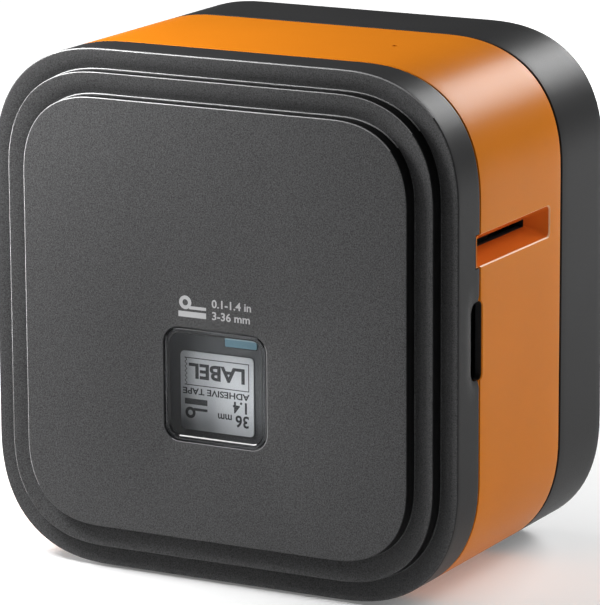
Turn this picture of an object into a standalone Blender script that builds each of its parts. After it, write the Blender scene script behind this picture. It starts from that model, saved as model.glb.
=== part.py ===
"""A cube-shaped laminated-tape label maker: stepped front cover, colour band, rear shell and works.

X runs to the right, Y to the back and Z up. The origin is at the bottom centre of the bounding box.
Sizes below are in millimetres, and MM turns them into Blender's metres.
"""

import math

import bmesh
import bpy
from mathutils import Matrix, Vector

MM = 0.001

# Body
WIDTH = 133.0
HEIGHT = 135.5
FOOT_STAND = 0.7
CENTRE_Z = FOOT_STAND + HEIGHT / 2
CORNER = 33.3
CORNER_POWER = 2.4
WALL = 2.0
SEAM = 0.3
COVER_LIP = 0.8

# Planes across the depth
PLATE_Y = -46.15
RIM_Y = -41.25
COVER_REAR_Y = -29.4
BAND_FRONT_Y = -29.1
BAND_REAR_Y = 17.6
SHELL_FRONT_Y = BAND_REAR_Y + SEAM
BACK_RIM_Y = 43.75
BACK_PLATE_Y = 46.15

# Terraces on the two ends: (ring width, rise)
FRONT_TERRACES = ((5.6, 2.5), (6.0, 2.4))
BACK_TERRACES = ((5.6, 1.2), (6.0, 1.2))
# Each front ring dips towards the wall inside it by FRONT_DISH. WALL_LEAN is the walls' draft.
FRONT_DISH = 1.7
WALL_LEAN = 0.1

# Window in the cover
WINDOW = 29.6
WINDOW_CENTRE = (0.7, 52.85)
WINDOW_CORNER = 4.4

# Right-hand side: tape exit and finger notch
EXIT_Y = (-31.25, 11.15)
EXIT_Z = (87.55, 95.5)
SLOT_Y = (-30.9, 5.95)
SLOT_Z = (90.55, 92.45)
EXIT_DEPTH = 5.0
EXIT_BLOCK_DEPTH = 7.0
EXIT_SURROUND = 2.2
EXIT_GAP = 0.35
NOTCH_Y = (-32.55, -27.65)
NOTCH_Z = (58.70, 78.85)
NOTCH_CORNER = 1.6
STATUS_LIGHT = (30.3, -4.4)
LIGHT_PIPE_RADIUS = 0.6
LIGHT_HOLE_RADIUS = 0.75

# Hinge of the cover
HINGE_X = -61.5
HINGE_Y = -22.25
HINGE_ARM_Z = ((45.0, 53.0), (84.0, 92.0))
HINGE_PIN_Z = (42.0, 95.0)
HINGE_PIN_RADIUS = 1.0
HINGE_ARM_RADIUS = 2.5
HINGE_ARM_BORE = 1.3
HINGE_LUG_Z = (54.0, 79.0)
HINGE_LUG_HEIGHT = 4.0
HINGE_LUG_RADIUS = 2.4
HINGE_LUG_BORE = 1.15

# Fittings that the cover meets when it shuts, each as its two corners
LATCH_TAB = ((59.9, -37.1, 60), (61.9, -24, 74))
LATCH_CATCH = ((56, BAND_FRONT_Y + 0.5, 58), (59.6, -18, 76))
COVER_SWITCH = ((48, -26, 110), (54, -18, 117))
PRESS_BAR_X = (-28, 28)
PRESS_BAR_Z = (19, 25)

# Tape path and works, as (x, z) seen from the front
TAPE_Z = 91.5
TAPE_Y = (-31.0, 5.0)
CASSETTE_Y = (-36.0, 10.0)
CASSETTE_WALL = 1.6
LID_THICKNESS = 1.3
LABEL_THICKNESS = 0.3
CASSETTE_OUTLINE = (
    (-45, 28), (47, 28), (47, 80), (20, 80), (20, 90.5), (12, 90.5), (12, 100), (-45, 100),
)
FLOOR_Y = (10.5, 13.0)
GEAR_Y = (13.6, 17.0)
MODULE = 0.8
DRIVE_AT = (40.0, 86.5)
TAKE_UP_AT = (4.0, 82.0)
TAPE_ROLL_AT = (0.0, 48.0)
TAPE_ROLL_RADIUS = 18.0
TAPE_CORE_RADIUS = 7.9
TAPE_POST_RADIUS = 3.6
FILM_ROLL_AT = (-30.0, 80.0)
FILM_ROLL_RADIUS = 13.0
FILM_POST_RADIUS = 3.0
RIBBON_AT = (33.0, 62.0)
RIBBON_ROLL_RADIUS = 8.0
RIBBON_POST_RADIUS = 2.4
TAKE_UP_RADIUS = 7.0
TAKE_UP_HUB_RADIUS = 3.2
ROLL_CLEARANCE = 0.4
LABEL_AT = (-4.1, 48.8)
LABEL_SIZE = (21.3, 20.6)
SIGHT_AT = (2.8, 62.35)
SIGHT_SIZE = (9.6, 2.4)
DRIVE_TEETH = 24
IDLER_TEETH = 30
TAKE_UP_TEETH = 24
MOTOR_TEETH = 12
MESH_SLACK = 0.1
SHAFT_RADIUS = 1.5
MOTOR_RADIUS = 9.0
MOTOR_SHAFT_RADIUS = 1.0
ARM_PIVOT = (8.0, 112.0)
PLATEN_AT = (28.0, 97.6)
PLATEN_RADIUS = 5.5
PINCH_AT = (40.0, 96.1)
PINCH_RADIUS = 4.0
DRIVE_RADIUS = 4.7
ROLLER_PIN_RADIUS = 1.15
HEAD_X = (23.5, 32.5)
HEAT_SINK_Z = (82.0, 87.6)

# Cutter, in the Y-Z plane behind the exit
CUTTER_AT = (6.5, 90.4)
CUTTER_OPEN = math.radians(16.0)
SECTOR_TEETH = 45
CUTTER_TEETH = 12
FRAME_X = (50.8, 52.4)
FIXED_BLADE_X = (52.8, 53.8)
MOVING_BLADE_X = (54.1, 55.1)
CUTTER_FRAME_Y = (-34.0, 10.0)
CUTTER_FRAME_Z = (62.0, 108.0)
CUTTER_WINDOW_Z = (89.6, 93.4)
FIXED_EDGE_Z = 91.0
CUTTER_MOTOR_X = (57.2, 63.8)

# Left-hand side: power button and charging socket
BUTTON_AT = (2.0, 106.0)
BUTTON_SIZE = (8.0, 14.0)
SOCKET_AT = (2.0, 30.0)
SOCKET_SIZE = (9.2, 3.6)
SOCKET_WALL = 0.4

# Boards and cells behind the chassis, each as its two corners
MAIN_BOARD = ((-39, 21, 84), (39, 22.6, 124))
BATTERY_PACK = ((-37, 20.5, 18), (4, 40, 78))

# Feet as (x, y), and screws as (x, z)
FOOT_RADIUS = 4.5
FOOT_HEIGHT = 1.0
SCREW_HEAD_RADIUS = 2.6
SCREW_SHANK_RADIUS = 1.3
SCREW_POST_RADIUS = 4.0
SCREW_BORE_RADIUS = 1.6
SCREW_SEAT_RADIUS = 3.0
SCREW_SEAT_DEPTH = 2.6
FEET = ((-24, -20), (24, -20), (-24, 34), (24, 34))
SCREWS = ((-44, 24), (44, 24), (-44, 113), (44, 113))


# ---------------------------------------------------------------- scene and materials

for old in list(bpy.data.objects):
    bpy.data.objects.remove(old, do_unlink=True)

PARTS = bpy.data.collections.new("label_maker")
CUTTERS = bpy.data.collections.new("label_maker_cutters")
bpy.context.scene.collection.children.link(PARTS)
bpy.context.scene.collection.children.link(CUTTERS)


def make_material(name, colour, roughness, metallic=0.0):
    material = bpy.data.materials.new(name)
    material.use_nodes = True
    shader = material.node_tree.nodes["Principled BSDF"]
    shader.inputs["Base Color"].default_value = (*colour, 1.0)
    shader.inputs["Roughness"].default_value = roughness
    shader.inputs["Metallic"].default_value = metallic
    material.diffuse_color = (*colour, 1.0)
    return material


COVER_GREY = make_material("cover_grey", (0.075, 0.075, 0.078), 0.55)
BAND_ORANGE = make_material("band_orange", (0.72, 0.27, 0.035), 0.35)
SHELL_GREY = make_material("shell_grey", (0.06, 0.06, 0.063), 0.45)
WINDOW_CLEAR = make_material("window_clear", (0.5, 0.5, 0.52), 0.05)
SMOKED = make_material("cassette_smoke", (0.05, 0.05, 0.055), 0.2)
LABEL_GREY = make_material("label_grey", (0.6, 0.62, 0.62), 0.5)
TAPE_BLUE = make_material("tape_blue", (0.45, 0.68, 0.72), 0.4)
FRAME_BLACK = make_material("frame_black", (0.02, 0.02, 0.022), 0.5)
GEAR_WHITE = make_material("gear_white", (0.75, 0.74, 0.7), 0.45)
STEEL = make_material("steel", (0.6, 0.6, 0.62), 0.3, 1.0)
RUBBER = make_material("rubber", (0.02, 0.02, 0.02), 0.8)
BOARD_GREEN = make_material("board_green", (0.02, 0.16, 0.06), 0.5)
RIBBON_BLACK = make_material("ribbon_black", (0.015, 0.015, 0.018), 0.35)


# ---------------------------------------------------------------- outlines

def rounded_rectangle(width, height, radius, centre=(0.0, 0.0), power=2.0, steps=8):
    """Outline of a rectangle whose corners follow a superellipse, anticlockwise."""
    points = []
    for across, up, backwards in ((1, 1, False), (-1, 1, True), (-1, -1, False), (1, -1, True)):
        turns = [math.pi / 2 * i / steps for i in range(steps + 1)]
        for turn in reversed(turns) if backwards else turns:
            u = width / 2 - radius + radius * math.cos(turn) ** (2 / power)
            v = height / 2 - radius + radius * math.sin(turn) ** (2 / power)
            points.append((centre[0] + across * u, centre[1] + up * v))
    return points


def body_outline(inset=0.0):
    """The body's outline in X and Z, moved inwards by the inset."""
    return rounded_rectangle(WIDTH - 2 * inset, HEIGHT - 2 * inset, CORNER - inset,
                             (0, CENTRE_Z), CORNER_POWER)


def rectangle(across, up):
    """Outline of a rectangle between two pairs of limits, anticlockwise."""
    return [(across[0], up[0]), (across[1], up[0]), (across[1], up[1]), (across[0], up[1])]


def circle(radius, centre=(0.0, 0.0), steps=24):
    return [(centre[0] + radius * math.cos(2 * math.pi * i / steps),
             centre[1] + radius * math.sin(2 * math.pi * i / steps)) for i in range(steps)]


def arc(radius, start, end, centre=(0.0, 0.0), steps=8):
    """Points on an arc between two angles in degrees."""
    turns = [math.radians(start + (end - start) * i / steps) for i in range(steps + 1)]
    return [(centre[0] + radius * math.cos(t), centre[1] + radius * math.sin(t)) for t in turns]


def offset_inwards(outline, distance):
    """An anticlockwise polygon with each edge moved inwards by the distance."""
    moved = []
    count = len(outline)
    for i, corner in enumerate(outline):
        here = Vector(corner)
        before = (here - Vector(outline[i - 1])).normalized()
        after = (Vector(outline[(i + 1) % count]) - here).normalized()
        normals = [Vector((-edge.y, edge.x)) for edge in (before, after)]
        shift = (normals[0] + normals[1]) / (1 + normals[0].dot(normals[1]))
        moved.append(tuple(here + shift * distance))
    return moved


def tooth_half_angle(teeth, radius):
    """Half the angle that a 20 degree involute tooth spans at a radius, for a gear of module 1."""
    pressure = math.radians(20)
    base = teeth / 2 * math.cos(pressure)
    roll = math.acos(min(1.0, base / radius))
    backlash = 0.12 / teeth
    return math.pi / (2 * teeth) - backlash + math.tan(pressure) - pressure - math.tan(roll) + roll


def gear_outline(teeth, phase, centre, first=0, count=None):
    """Teeth of a spur gear, anticlockwise. The middle of tooth 0 points along the phase angle."""
    pitch = teeth / 2
    base = pitch * math.cos(math.radians(20))
    root = pitch - 1.05
    radii = (root, max(base, root + 0.01), pitch + 0.4, pitch + 0.8)
    points = []
    for k in range(first, first + (count or teeth)):
        middle = phase + 2 * math.pi * k / teeth
        flank = [(r, tooth_half_angle(teeth, r)) for r in radii]
        sides = [(r, middle - half) for r, half in flank]
        sides += [(r, middle + half) for r, half in reversed(flank)]
        for r, angle in sides:
            points.append((centre[0] + MODULE * r * math.cos(angle),
                           centre[1] + MODULE * r * math.sin(angle)))
    return points


def meshing_phase(phase, teeth, other_teeth, at, other_at):
    """Phase of a gear that meshes with one already placed: its gap faces the other's tooth."""
    towards = math.atan2(other_at[1] - at[1], other_at[0] - at[0])
    behind = (towards - phase) * teeth / (2 * math.pi)
    return towards + math.pi - 2 * math.pi / other_teeth * (0.5 - behind)


def centre_distance(teeth, other_teeth):
    return MODULE * (teeth + other_teeth) / 2 + MESH_SLACK


def meeting_point(first, first_radius, second, second_radius):
    """The lower of the two points at given distances from two centres."""
    start = Vector(first)
    line = Vector(second) - start
    along = (line.length_squared + first_radius ** 2 - second_radius ** 2) / (2 * line.length)
    out = math.sqrt(first_radius ** 2 - along ** 2)
    unit = line.normalized()
    sides = [start + unit * along + side * out * Vector((-unit.y, unit.x)) for side in (1, -1)]
    return tuple(min(sides, key=lambda point: point.y))


# ---------------------------------------------------------------- solids

def place(name, mesh, material, origin=None):
    """Links a mesh made in world metres as an object, with its origin at a point in millimetres."""
    item = bpy.data.objects.new(name, mesh)
    if origin is not None:
        at = Vector(origin) * MM
        mesh.transform(Matrix.Translation(-at))
        item.location = at
    if material is not None:
        mesh.materials.append(material)
        PARTS.objects.link(item)
        mesh.shade_smooth()
        mesh.set_sharp_from_angle(angle=math.radians(35))
    else:
        CUTTERS.objects.link(item)
        item.hide_render = True
        item.display_type = "WIRE"
    return item


def mesh_of(bm, name):
    bmesh.ops.recalc_face_normals(bm, faces=bm.faces)
    mesh = bpy.data.meshes.new(name)
    bm.to_mesh(mesh)
    bm.free()
    return mesh


AXIS_TURN = {
    "X": Matrix(((0, 0, 1), (1, 0, 0), (0, 1, 0))).to_4x4(),
    "Y": Matrix(((1, 0, 0), (0, 0, -1), (0, 1, 0))).to_4x4(),
    "Z": Matrix.Identity(4),
}


def extruded(name, outlines, low, high, material=None, axis="Y", origin=None):
    """A flat outline, with any holes as further outlines, given a thickness along an axis."""
    curve = bpy.data.curves.new(name, "CURVE")
    curve.dimensions = "2D"
    curve.fill_mode = "BOTH"
    curve.extrude = (high - low) / 2 * MM
    for outline in outlines:
        spline = curve.splines.new("POLY")
        spline.points.add(len(outline) - 1)
        for point, (u, v) in zip(spline.points, outline):
            point.co = (u * MM, v * MM, 0, 1)
        spline.use_cyclic_u = True
    guide = bpy.data.objects.new(name + "_outline", curve)
    bpy.context.scene.collection.objects.link(guide)
    bpy.context.view_layer.update()
    graph = bpy.context.evaluated_depsgraph_get()
    mesh = bpy.data.meshes.new_from_object(guide.evaluated_get(graph))
    bpy.data.objects.remove(guide)
    bm = bmesh.new()
    bm.from_mesh(mesh)
    bmesh.ops.remove_doubles(bm, verts=bm.verts, dist=1e-6)
    bpy.data.meshes.remove(mesh)
    mesh = mesh_of(bm, name)
    middle = (low + high) / 2 * MM
    shift = {"X": (middle, 0, 0), "Y": (0, middle, 0), "Z": (0, 0, middle)}[axis]
    mesh.transform(Matrix.Translation(shift) @ AXIS_TURN[axis])
    return place(name, mesh, material, origin)


def lofted(name, sections, material=None, axis="Y"):
    """A closed solid through outlines of equal count, each given with its place along an axis."""
    bm = bmesh.new()
    rings = []
    for along, outline in sections:
        if axis == "Y":
            ring = [(u, along, v) for u, v in outline]
        else:
            ring = [(along, u, v) for u, v in outline]
        rings.append([bm.verts.new(Vector(point) * MM) for point in ring])
    for lower, upper in zip(rings, rings[1:]):
        for i in range(len(lower)):
            bm.faces.new((lower[i - 1], lower[i], upper[i], upper[i - 1]))
    bm.faces.new(rings[0])
    bm.faces.new(rings[-1])
    return place(name, mesh_of(bm, name), material)


def box(name, low, high, material=None, origin=None, bevel=0.0):
    """A rectangular block between two corners, with its edges eased by the bevel."""
    bm = bmesh.new()
    bmesh.ops.create_cube(bm, size=1.0)
    sides = [(high[i] - low[i]) * MM for i in range(3)]
    middle = [(high[i] + low[i]) / 2 * MM for i in range(3)]
    bmesh.ops.scale(bm, verts=bm.verts, vec=sides)
    bmesh.ops.translate(bm, verts=bm.verts, vec=middle)
    item = place(name, mesh_of(bm, name), material, origin)
    if bevel:
        ease = item.modifiers.new("eased_edges", "BEVEL")
        ease.width = bevel * MM
        ease.segments = 1
        ease.limit_method = "ANGLE"
    return item


def cylinder(name, radius, low, high, centre, material=None, axis="Y", steps=24, origin=None):
    """A round bar along an axis. The centre gives its other two coordinates, in order."""
    bm = bmesh.new()
    bmesh.ops.create_cone(bm, cap_ends=True, segments=steps, radius1=radius * MM,
                          radius2=radius * MM, depth=(high - low) * MM)
    mesh = mesh_of(bm, name)
    middle = (low + high) / 2
    at = {"X": (middle, *centre), "Y": (centre[0], middle, centre[1]), "Z": (*centre, middle)}[axis]
    mesh.transform(Matrix.Translation(Vector(at) * MM) @ AXIS_TURN[axis])
    return place(name, mesh, material, origin)


def turned(name, profile, centre, material, steps=28):
    """A shape turned about a line along Y. The profile is a closed loop of (radius, y), from the
    outer side's back end to its front end, and back along the bore."""
    mesh = bpy.data.meshes.new(name)
    points = [(radius * MM, 0, y * MM) for radius, y in profile]
    edges = [(i, (i + 1) % len(points)) for i in range(len(points))]
    mesh.from_pydata(points, edges, [])
    mesh.materials.append(material)
    item = bpy.data.objects.new(name, mesh)
    item.location = (centre[0] * MM, 0, centre[1] * MM)
    item.rotation_euler = (-math.pi / 2, 0, 0)
    PARTS.objects.link(item)
    screw = item.modifiers.new("turned", "SCREW")
    screw.steps = steps
    screw.render_steps = steps
    screw.use_merge_vertices = True
    screw.merge_threshold = 1e-6
    screw.use_smooth_shade = True
    return item


def ring_profile(outer, inner, low, high):
    return ((outer, high), (outer, low), (inner, low), (inner, high))


def cut(item, *tools):
    for tool in tools:
        boolean = item.modifiers.new("cut_" + tool.name, "BOOLEAN")
        boolean.operation = "DIFFERENCE"
        boolean.object = tool
        boolean.solver = "EXACT"


def join(item, *pieces):
    for piece in pieces:
        boolean = item.modifiers.new("join_" + piece.name, "BOOLEAN")
        boolean.operation = "UNION"
        boolean.object = piece
        boolean.solver = "EXACT"


# ---------------------------------------------------------------- housing

def terrace_sections(rim_y, outwards, terraces, dish=0.0, edge=0.5):
    """Sections from a rim to the end plate: each terrace is a ring that dips inwards, then a wall."""
    inset = 0.0
    y = rim_y
    sections = [(y - outwards * edge, body_outline(inset)), (y, body_outline(inset + edge))]
    for width, rise in terraces:
        inset += width
        sections.append((y - outwards * dish, body_outline(inset - WALL_LEAN)))
        sections.append((y + outwards * (rise - edge), body_outline(inset)))
        y += outwards * rise
        sections.append((y, body_outline(inset + edge)))
    return sections


def hollow_sections(rim_y, outwards, terraces, dish=0.0):
    """The same steps on the inner side of the wall."""
    inset = WALL
    y = rim_y - outwards * WALL
    sections = [(y, body_outline(inset))]
    for width, rise in terraces:
        inset += width
        foot = y - outwards * dish
        sections.append((foot, body_outline(inset - WALL)))
        sections.append((foot, body_outline(inset)))
        y += outwards * rise
        sections.append((y, body_outline(inset + WALL_LEAN)))
    return sections


def finger_notch(name):
    outline = rounded_rectangle(NOTCH_Y[1] - NOTCH_Y[0], NOTCH_Z[1] - NOTCH_Z[0], NOTCH_CORNER,
                                (sum(NOTCH_Y) / 2, sum(NOTCH_Z) / 2), steps=4)
    return extruded(name, [outline], WIDTH / 2 - 5, WIDTH / 2 + 5, axis="X")


def make_front_cover():
    """Stepped cap with a thin rear lip, so that it can swing past the band on its hidden hinge."""
    side = [(COVER_REAR_Y, body_outline(0))]
    cover = lofted("front_cover", side + terrace_sections(RIM_Y, -1, FRONT_TERRACES, FRONT_DISH),
                   COVER_GREY)
    inner = [(COVER_REAR_Y + 2, body_outline(COVER_LIP)), (COVER_REAR_Y - 1.0, body_outline(COVER_LIP)),
             (COVER_REAR_Y - 2.4, body_outline(WALL))]
    hollow = lofted("cover_hollow", inner + hollow_sections(RIM_Y, -1, FRONT_TERRACES, FRONT_DISH))
    half = WIDTH / 2
    relief = extruded("cover_hinge_relief", [[
        (-half - 4, COVER_REAR_Y - 0.6), (-half + 1, COVER_REAR_Y - 0.45), (-half + 10, COVER_REAR_Y),
        (-half + 10, COVER_REAR_Y + 3), (-half - 4, COVER_REAR_Y + 3)]], -5, HEIGHT + 5, axis="Z")
    window = extruded("cover_window_hole", [rounded_rectangle(
        WINDOW, WINDOW, WINDOW_CORNER, WINDOW_CENTRE, steps=5)], PLATE_Y - 3, PLATE_Y + 6)
    exit_gap = box("cover_exit_gap", (58, EXIT_Y[0] - EXIT_GAP, EXIT_Z[0] - EXIT_GAP),
                   (WIDTH / 2 + 3, COVER_REAR_Y + 2, EXIT_Z[1] + EXIT_GAP))
    cut(cover, hollow, relief, window, exit_gap, finger_notch("cover_finger_notch"))


def make_cover_window():
    """Clear pane, set just below the plate's face, with a clearance all round."""
    side = WINDOW - 2 * SEAM
    extruded("cover_window", [rounded_rectangle(side, side, WINDOW_CORNER - SEAM, WINDOW_CENTRE,
                                                steps=5)], PLATE_Y + 0.3, PLATE_Y + 1.8, WINDOW_CLEAR)


def hinge_arm_outline():
    """A C-shaped arm seen along the hinge pin. It reaches round the band's front edge."""
    boss = arc(HINGE_ARM_RADIUS, 90, 339, (HINGE_X, HINGE_Y), 10)
    reach = ((8.6, -0.9), (8.6, -8.6), (-2.7, -8.6), (-2.7, -11.0), (11.2, -11.0), (11.2, 2.5))
    return boss + [(HINGE_X + x, HINGE_Y + y) for x, y in reach]


def make_cover_hinge():
    hole = circle(HINGE_ARM_BORE, (HINGE_X, HINGE_Y), 12)
    for name, (low, high) in zip(("hinge_arm_lower", "hinge_arm_upper"), HINGE_ARM_Z):
        extruded(name, [hinge_arm_outline(), hole], low, high, FRAME_BLACK, "Z",
                 (HINGE_X, HINGE_Y, low))
    cylinder("hinge_pin", HINGE_PIN_RADIUS, *HINGE_PIN_Z, (HINGE_X, HINGE_Y), STEEL, "Z", 12)
    back = HINGE_Y + 3.05
    bracket = extruded("hinge_bracket", [[
        (-64, back), (-57, back), (-57, back + 2), (-62, back + 2), (-62, 10.2), (-64, 10.2)]],
        HINGE_PIN_Z[0], HINGE_PIN_Z[1], FRAME_BLACK, "Z")
    lug = arc(HINGE_LUG_RADIUS, 180, 360, (HINGE_X, HINGE_Y))
    lug += [(HINGE_X + HINGE_LUG_RADIUS, back + 1), (HINGE_X - HINGE_LUG_RADIUS, back + 1)]
    for name, low in zip(("hinge_lug_lower", "hinge_lug_upper"), HINGE_LUG_Z):
        join(bracket, extruded(name, [lug], low, low + HINGE_LUG_HEIGHT, axis="Z"))
    cut(bracket, cylinder("hinge_lug_bore", HINGE_LUG_BORE, 30, 105, (HINGE_X, HINGE_Y), None, "Z", 12))


def make_cover_fittings():
    """What the cover carries inside: the latch's tab and the bar that presses on the cassette."""
    box("latch_tab", *LATCH_TAB, FRAME_BLACK, bevel=0.4)
    box("press_bar", (PRESS_BAR_X[0], PLATE_Y + WALL + 0.35, PRESS_BAR_Z[0]),
        (PRESS_BAR_X[1], CASSETTE_Y[0] - 0.8, PRESS_BAR_Z[1]), FRAME_BLACK, bevel=0.6)


def make_band():
    """Coloured band: a deep ring, thickened round the tape exit's funnel."""
    edge = 0.3
    band = lofted("band_housing", [
        (BAND_FRONT_Y, body_outline(edge)), (BAND_FRONT_Y + edge, body_outline()),
        (BAND_REAR_Y - edge, body_outline()), (BAND_REAR_Y, body_outline(edge))], BAND_ORANGE)
    hollow = extruded("band_hollow", [body_outline(WALL)], BAND_FRONT_Y - 2, BAND_REAR_Y + 2)
    half = WIDTH / 2
    inner = half - EXIT_BLOCK_DEPTH
    block = box("exit_block", (inner, BAND_FRONT_Y + 0.4, EXIT_Z[0] - EXIT_SURROUND),
                (half - 1, EXIT_Y[1] + 2, EXIT_Z[1] + EXIT_SURROUND))
    tongue = box("exit_tongue", (inner, EXIT_Y[0], EXIT_Z[0]), (half, BAND_FRONT_Y + 3, EXIT_Z[1]))
    mouth = [(u, v) for v in EXIT_Z for u in (EXIT_Y[0] + EXIT_GAP, EXIT_Y[1])]
    throat = [(u, v) for v in SLOT_Z for u in SLOT_Y]
    around = (0, 1, 3, 2)
    funnel = lofted("exit_funnel", [
        (half - EXIT_DEPTH - 4, [throat[i] for i in around]),
        (half - EXIT_DEPTH, [throat[i] for i in around]),
        (half, [mouth[i] for i in around]),
        (half + 1, [mouth[i] for i in around])], axis="X")
    light = cylinder("status_light_hole", LIGHT_HOLE_RADIUS, HEIGHT - 4, HEIGHT + 4, STATUS_LIGHT, None,
                     "Z", 16)
    button = extruded("button_hole", [round_ended(BUTTON_SIZE, BUTTON_AT, SEAM)], -half - 3, -half + 5,
                      axis="X")
    socket = extruded("socket_hole", [round_ended(SOCKET_SIZE, SOCKET_AT, SEAM)], -half - 3, -half + 5,
                      axis="X")
    cut(band, hollow)
    join(band, block, tongue)
    cut(band, funnel, finger_notch("band_finger_notch"), light, button, socket)
    cut(band, *foot_pockets(FEET[:2]))


def round_ended(size, centre, grow=0.0):
    """A slot-shaped outline with fully round ends, grown outwards by a margin."""
    width, height = size[0] + 2 * grow, size[1] + 2 * grow
    return rounded_rectangle(width, height, min(width, height) / 2, centre, steps=5)


def foot_pockets(places):
    return [cylinder(f"foot_pocket_{x:g}_{y:g}", FOOT_RADIUS + SEAM, -1, FOOT_HEIGHT + SEAM, (x, y),
                     None, "Z") for x, y in places]


def make_rear_shell():
    """Back shell with the same terraces, four screw posts, and sockets for the rear feet."""
    shell = lofted("rear_shell", [(SHELL_FRONT_Y, body_outline(0.3)), (SHELL_FRONT_Y + 0.3, body_outline())]
                   + terrace_sections(BACK_RIM_Y, 1, BACK_TERRACES, edge=0.4), SHELL_GREY)
    cut(shell, lofted("shell_hollow", [(SHELL_FRONT_Y - 2, body_outline(WALL))]
                      + hollow_sections(BACK_RIM_Y, 1, BACK_TERRACES)))
    for i, at in enumerate(SCREWS):
        join(shell, cylinder(f"screw_post_{i}", SCREW_POST_RADIUS, 22, BACK_PLATE_Y - 1, at, steps=16))
    for i, at in enumerate(SCREWS):
        cut(shell, cylinder(f"screw_bore_{i}", SCREW_BORE_RADIUS, 10, 60, at, steps=12),
            cylinder(f"screw_seat_{i}", SCREW_SEAT_RADIUS, BACK_PLATE_Y - SCREW_SEAT_DEPTH, 60, at,
                     steps=16))
    cut(shell, *foot_pockets(FEET[2:]))


def make_feet_and_screws():
    for i, (x, y) in enumerate(FEET):
        cylinder(f"foot_{i + 1}", FOOT_RADIUS, 0, FOOT_HEIGHT, (x, y), RUBBER, "Z", 20)
    head_y = BACK_PLATE_Y - 0.7
    neck_y = head_y - 1.6
    for i, at in enumerate(SCREWS):
        turned(f"case_screw_{i + 1}", ((0.5, head_y), (SCREW_HEAD_RADIUS, head_y),
                                       (SCREW_HEAD_RADIUS, neck_y), (SCREW_SHANK_RADIUS, neck_y),
                                       (SCREW_SHANK_RADIUS, 24), (0.5, 24)), at, STEEL, 14)


# ---------------------------------------------------------------- chassis, cassette and rolls

IDLER_AT = meeting_point(DRIVE_AT, centre_distance(DRIVE_TEETH, IDLER_TEETH),
                         TAKE_UP_AT, centre_distance(TAKE_UP_TEETH, IDLER_TEETH))
MOTOR_AT = (IDLER_AT[0] - 4.0, IDLER_AT[1] - math.sqrt(
    centre_distance(IDLER_TEETH, MOTOR_TEETH) ** 2 - 4.0 ** 2))


def make_chassis():
    """Moulded floor behind the cassette, which the gear shafts pass through."""
    holes = [circle(2.0, at, 12) for at in (DRIVE_AT, TAKE_UP_AT)]
    chassis = extruded("chassis", [body_outline(WALL + 0.4), *holes], *FLOOR_Y, FRAME_BLACK)
    cut(chassis, box("exit_clearance", (WIDTH / 2 - 7.4, FLOOR_Y[0] - 2, EXIT_Z[0] - 2.6),
                     (WIDTH / 2 + 2, FLOOR_Y[1] + 2, EXIT_Z[1] + 2.6)),
        box("sector_clearance", (MOVING_BLADE_X[0] - 0.8, FLOOR_Y[0] - 2, 59),
            (MOVING_BLADE_X[1] + 1.8, FLOOR_Y[1] + 2, 98)))
    cylinder("idler_shaft", SHAFT_RADIUS, FLOOR_Y[1] + 0.3, GEAR_Y[1] + 0.6, IDLER_AT, STEEL, steps=12)
    cylinder("arm_pivot_pin", SHAFT_RADIUS, -37.5, FLOOR_Y[0] - 0.2, ARM_PIVOT, STEEL, steps=12)


def make_cassette():
    low, high = CASSETTE_Y
    case = extruded("cassette_case", [CASSETTE_OUTLINE], low + LID_THICKNESS + SEAM, high, SMOKED)
    inside = offset_inwards(CASSETTE_OUTLINE, CASSETTE_WALL)
    cut(case, extruded("cassette_hollow", [inside], low - 3, high - CASSETTE_WALL))
    posts = (("tape_post", TAPE_ROLL_AT, TAPE_POST_RADIUS), ("film_post", FILM_ROLL_AT, FILM_POST_RADIUS),
             ("ribbon_post", RIBBON_AT, RIBBON_POST_RADIUS))
    for name, at, radius in posts:
        join(case, cylinder(name, radius, low + 2.6, high - 1, at, steps=16))
    cut(case, cylinder("take_up_bore", 2.6, high - 6, high + 2, TAKE_UP_AT, steps=16))
    sight = rounded_rectangle(*SIGHT_SIZE, 0.5, SIGHT_AT, steps=3)
    extruded("cassette_lid", [CASSETTE_OUTLINE, sight], low, low + LID_THICKNESS, SMOKED)


def make_cassette_label():
    """Paper label on the cassette's lid, behind the window."""
    outline = rounded_rectangle(*LABEL_SIZE, 1.2, LABEL_AT, steps=4)
    back = CASSETTE_Y[0] - 0.2
    extruded("cassette_label", [outline], back - LABEL_THICKNESS, back, LABEL_GREY)


def make_rolls():
    """Wound media on their posts, each free to turn."""
    low, high = TAPE_Y
    turned("tape_roll", ring_profile(TAPE_ROLL_RADIUS, TAPE_CORE_RADIUS + SEAM, low, high), TAPE_ROLL_AT,
           TAPE_BLUE, 40)
    turned("tape_core", ring_profile(TAPE_CORE_RADIUS, TAPE_POST_RADIUS + ROLL_CLEARANCE, low - 0.5,
                                     high + 0.5), TAPE_ROLL_AT, GEAR_WHITE)
    turned("film_roll", ring_profile(FILM_ROLL_RADIUS, FILM_POST_RADIUS + ROLL_CLEARANCE, low, high),
           FILM_ROLL_AT, WINDOW_CLEAR, 32)
    turned("ribbon_supply_roll", ring_profile(RIBBON_ROLL_RADIUS, RIBBON_POST_RADIUS + ROLL_CLEARANCE,
                                              low, high), RIBBON_AT, RIBBON_BLACK)
    hub, bore = TAKE_UP_HUB_RADIUS, SHAFT_RADIUS + 0.2
    turned("ribbon_take_up_spool", ((TAKE_UP_RADIUS, high), (TAKE_UP_RADIUS, low), (hub, low),
                                    (hub, low - 1), (bore, low - 1), (bore, high + 1), (hub, high + 1),
                                    (hub, high)), TAKE_UP_AT, RIBBON_BLACK)


# ---------------------------------------------------------------- drive and print works

def gear(name, teeth, phase, at, bore):
    extruded(name, [gear_outline(teeth, phase, at), circle(bore, at, 12)], *GEAR_Y, GEAR_WHITE,
             origin=(at[0], GEAR_Y[0], at[1]))


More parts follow.
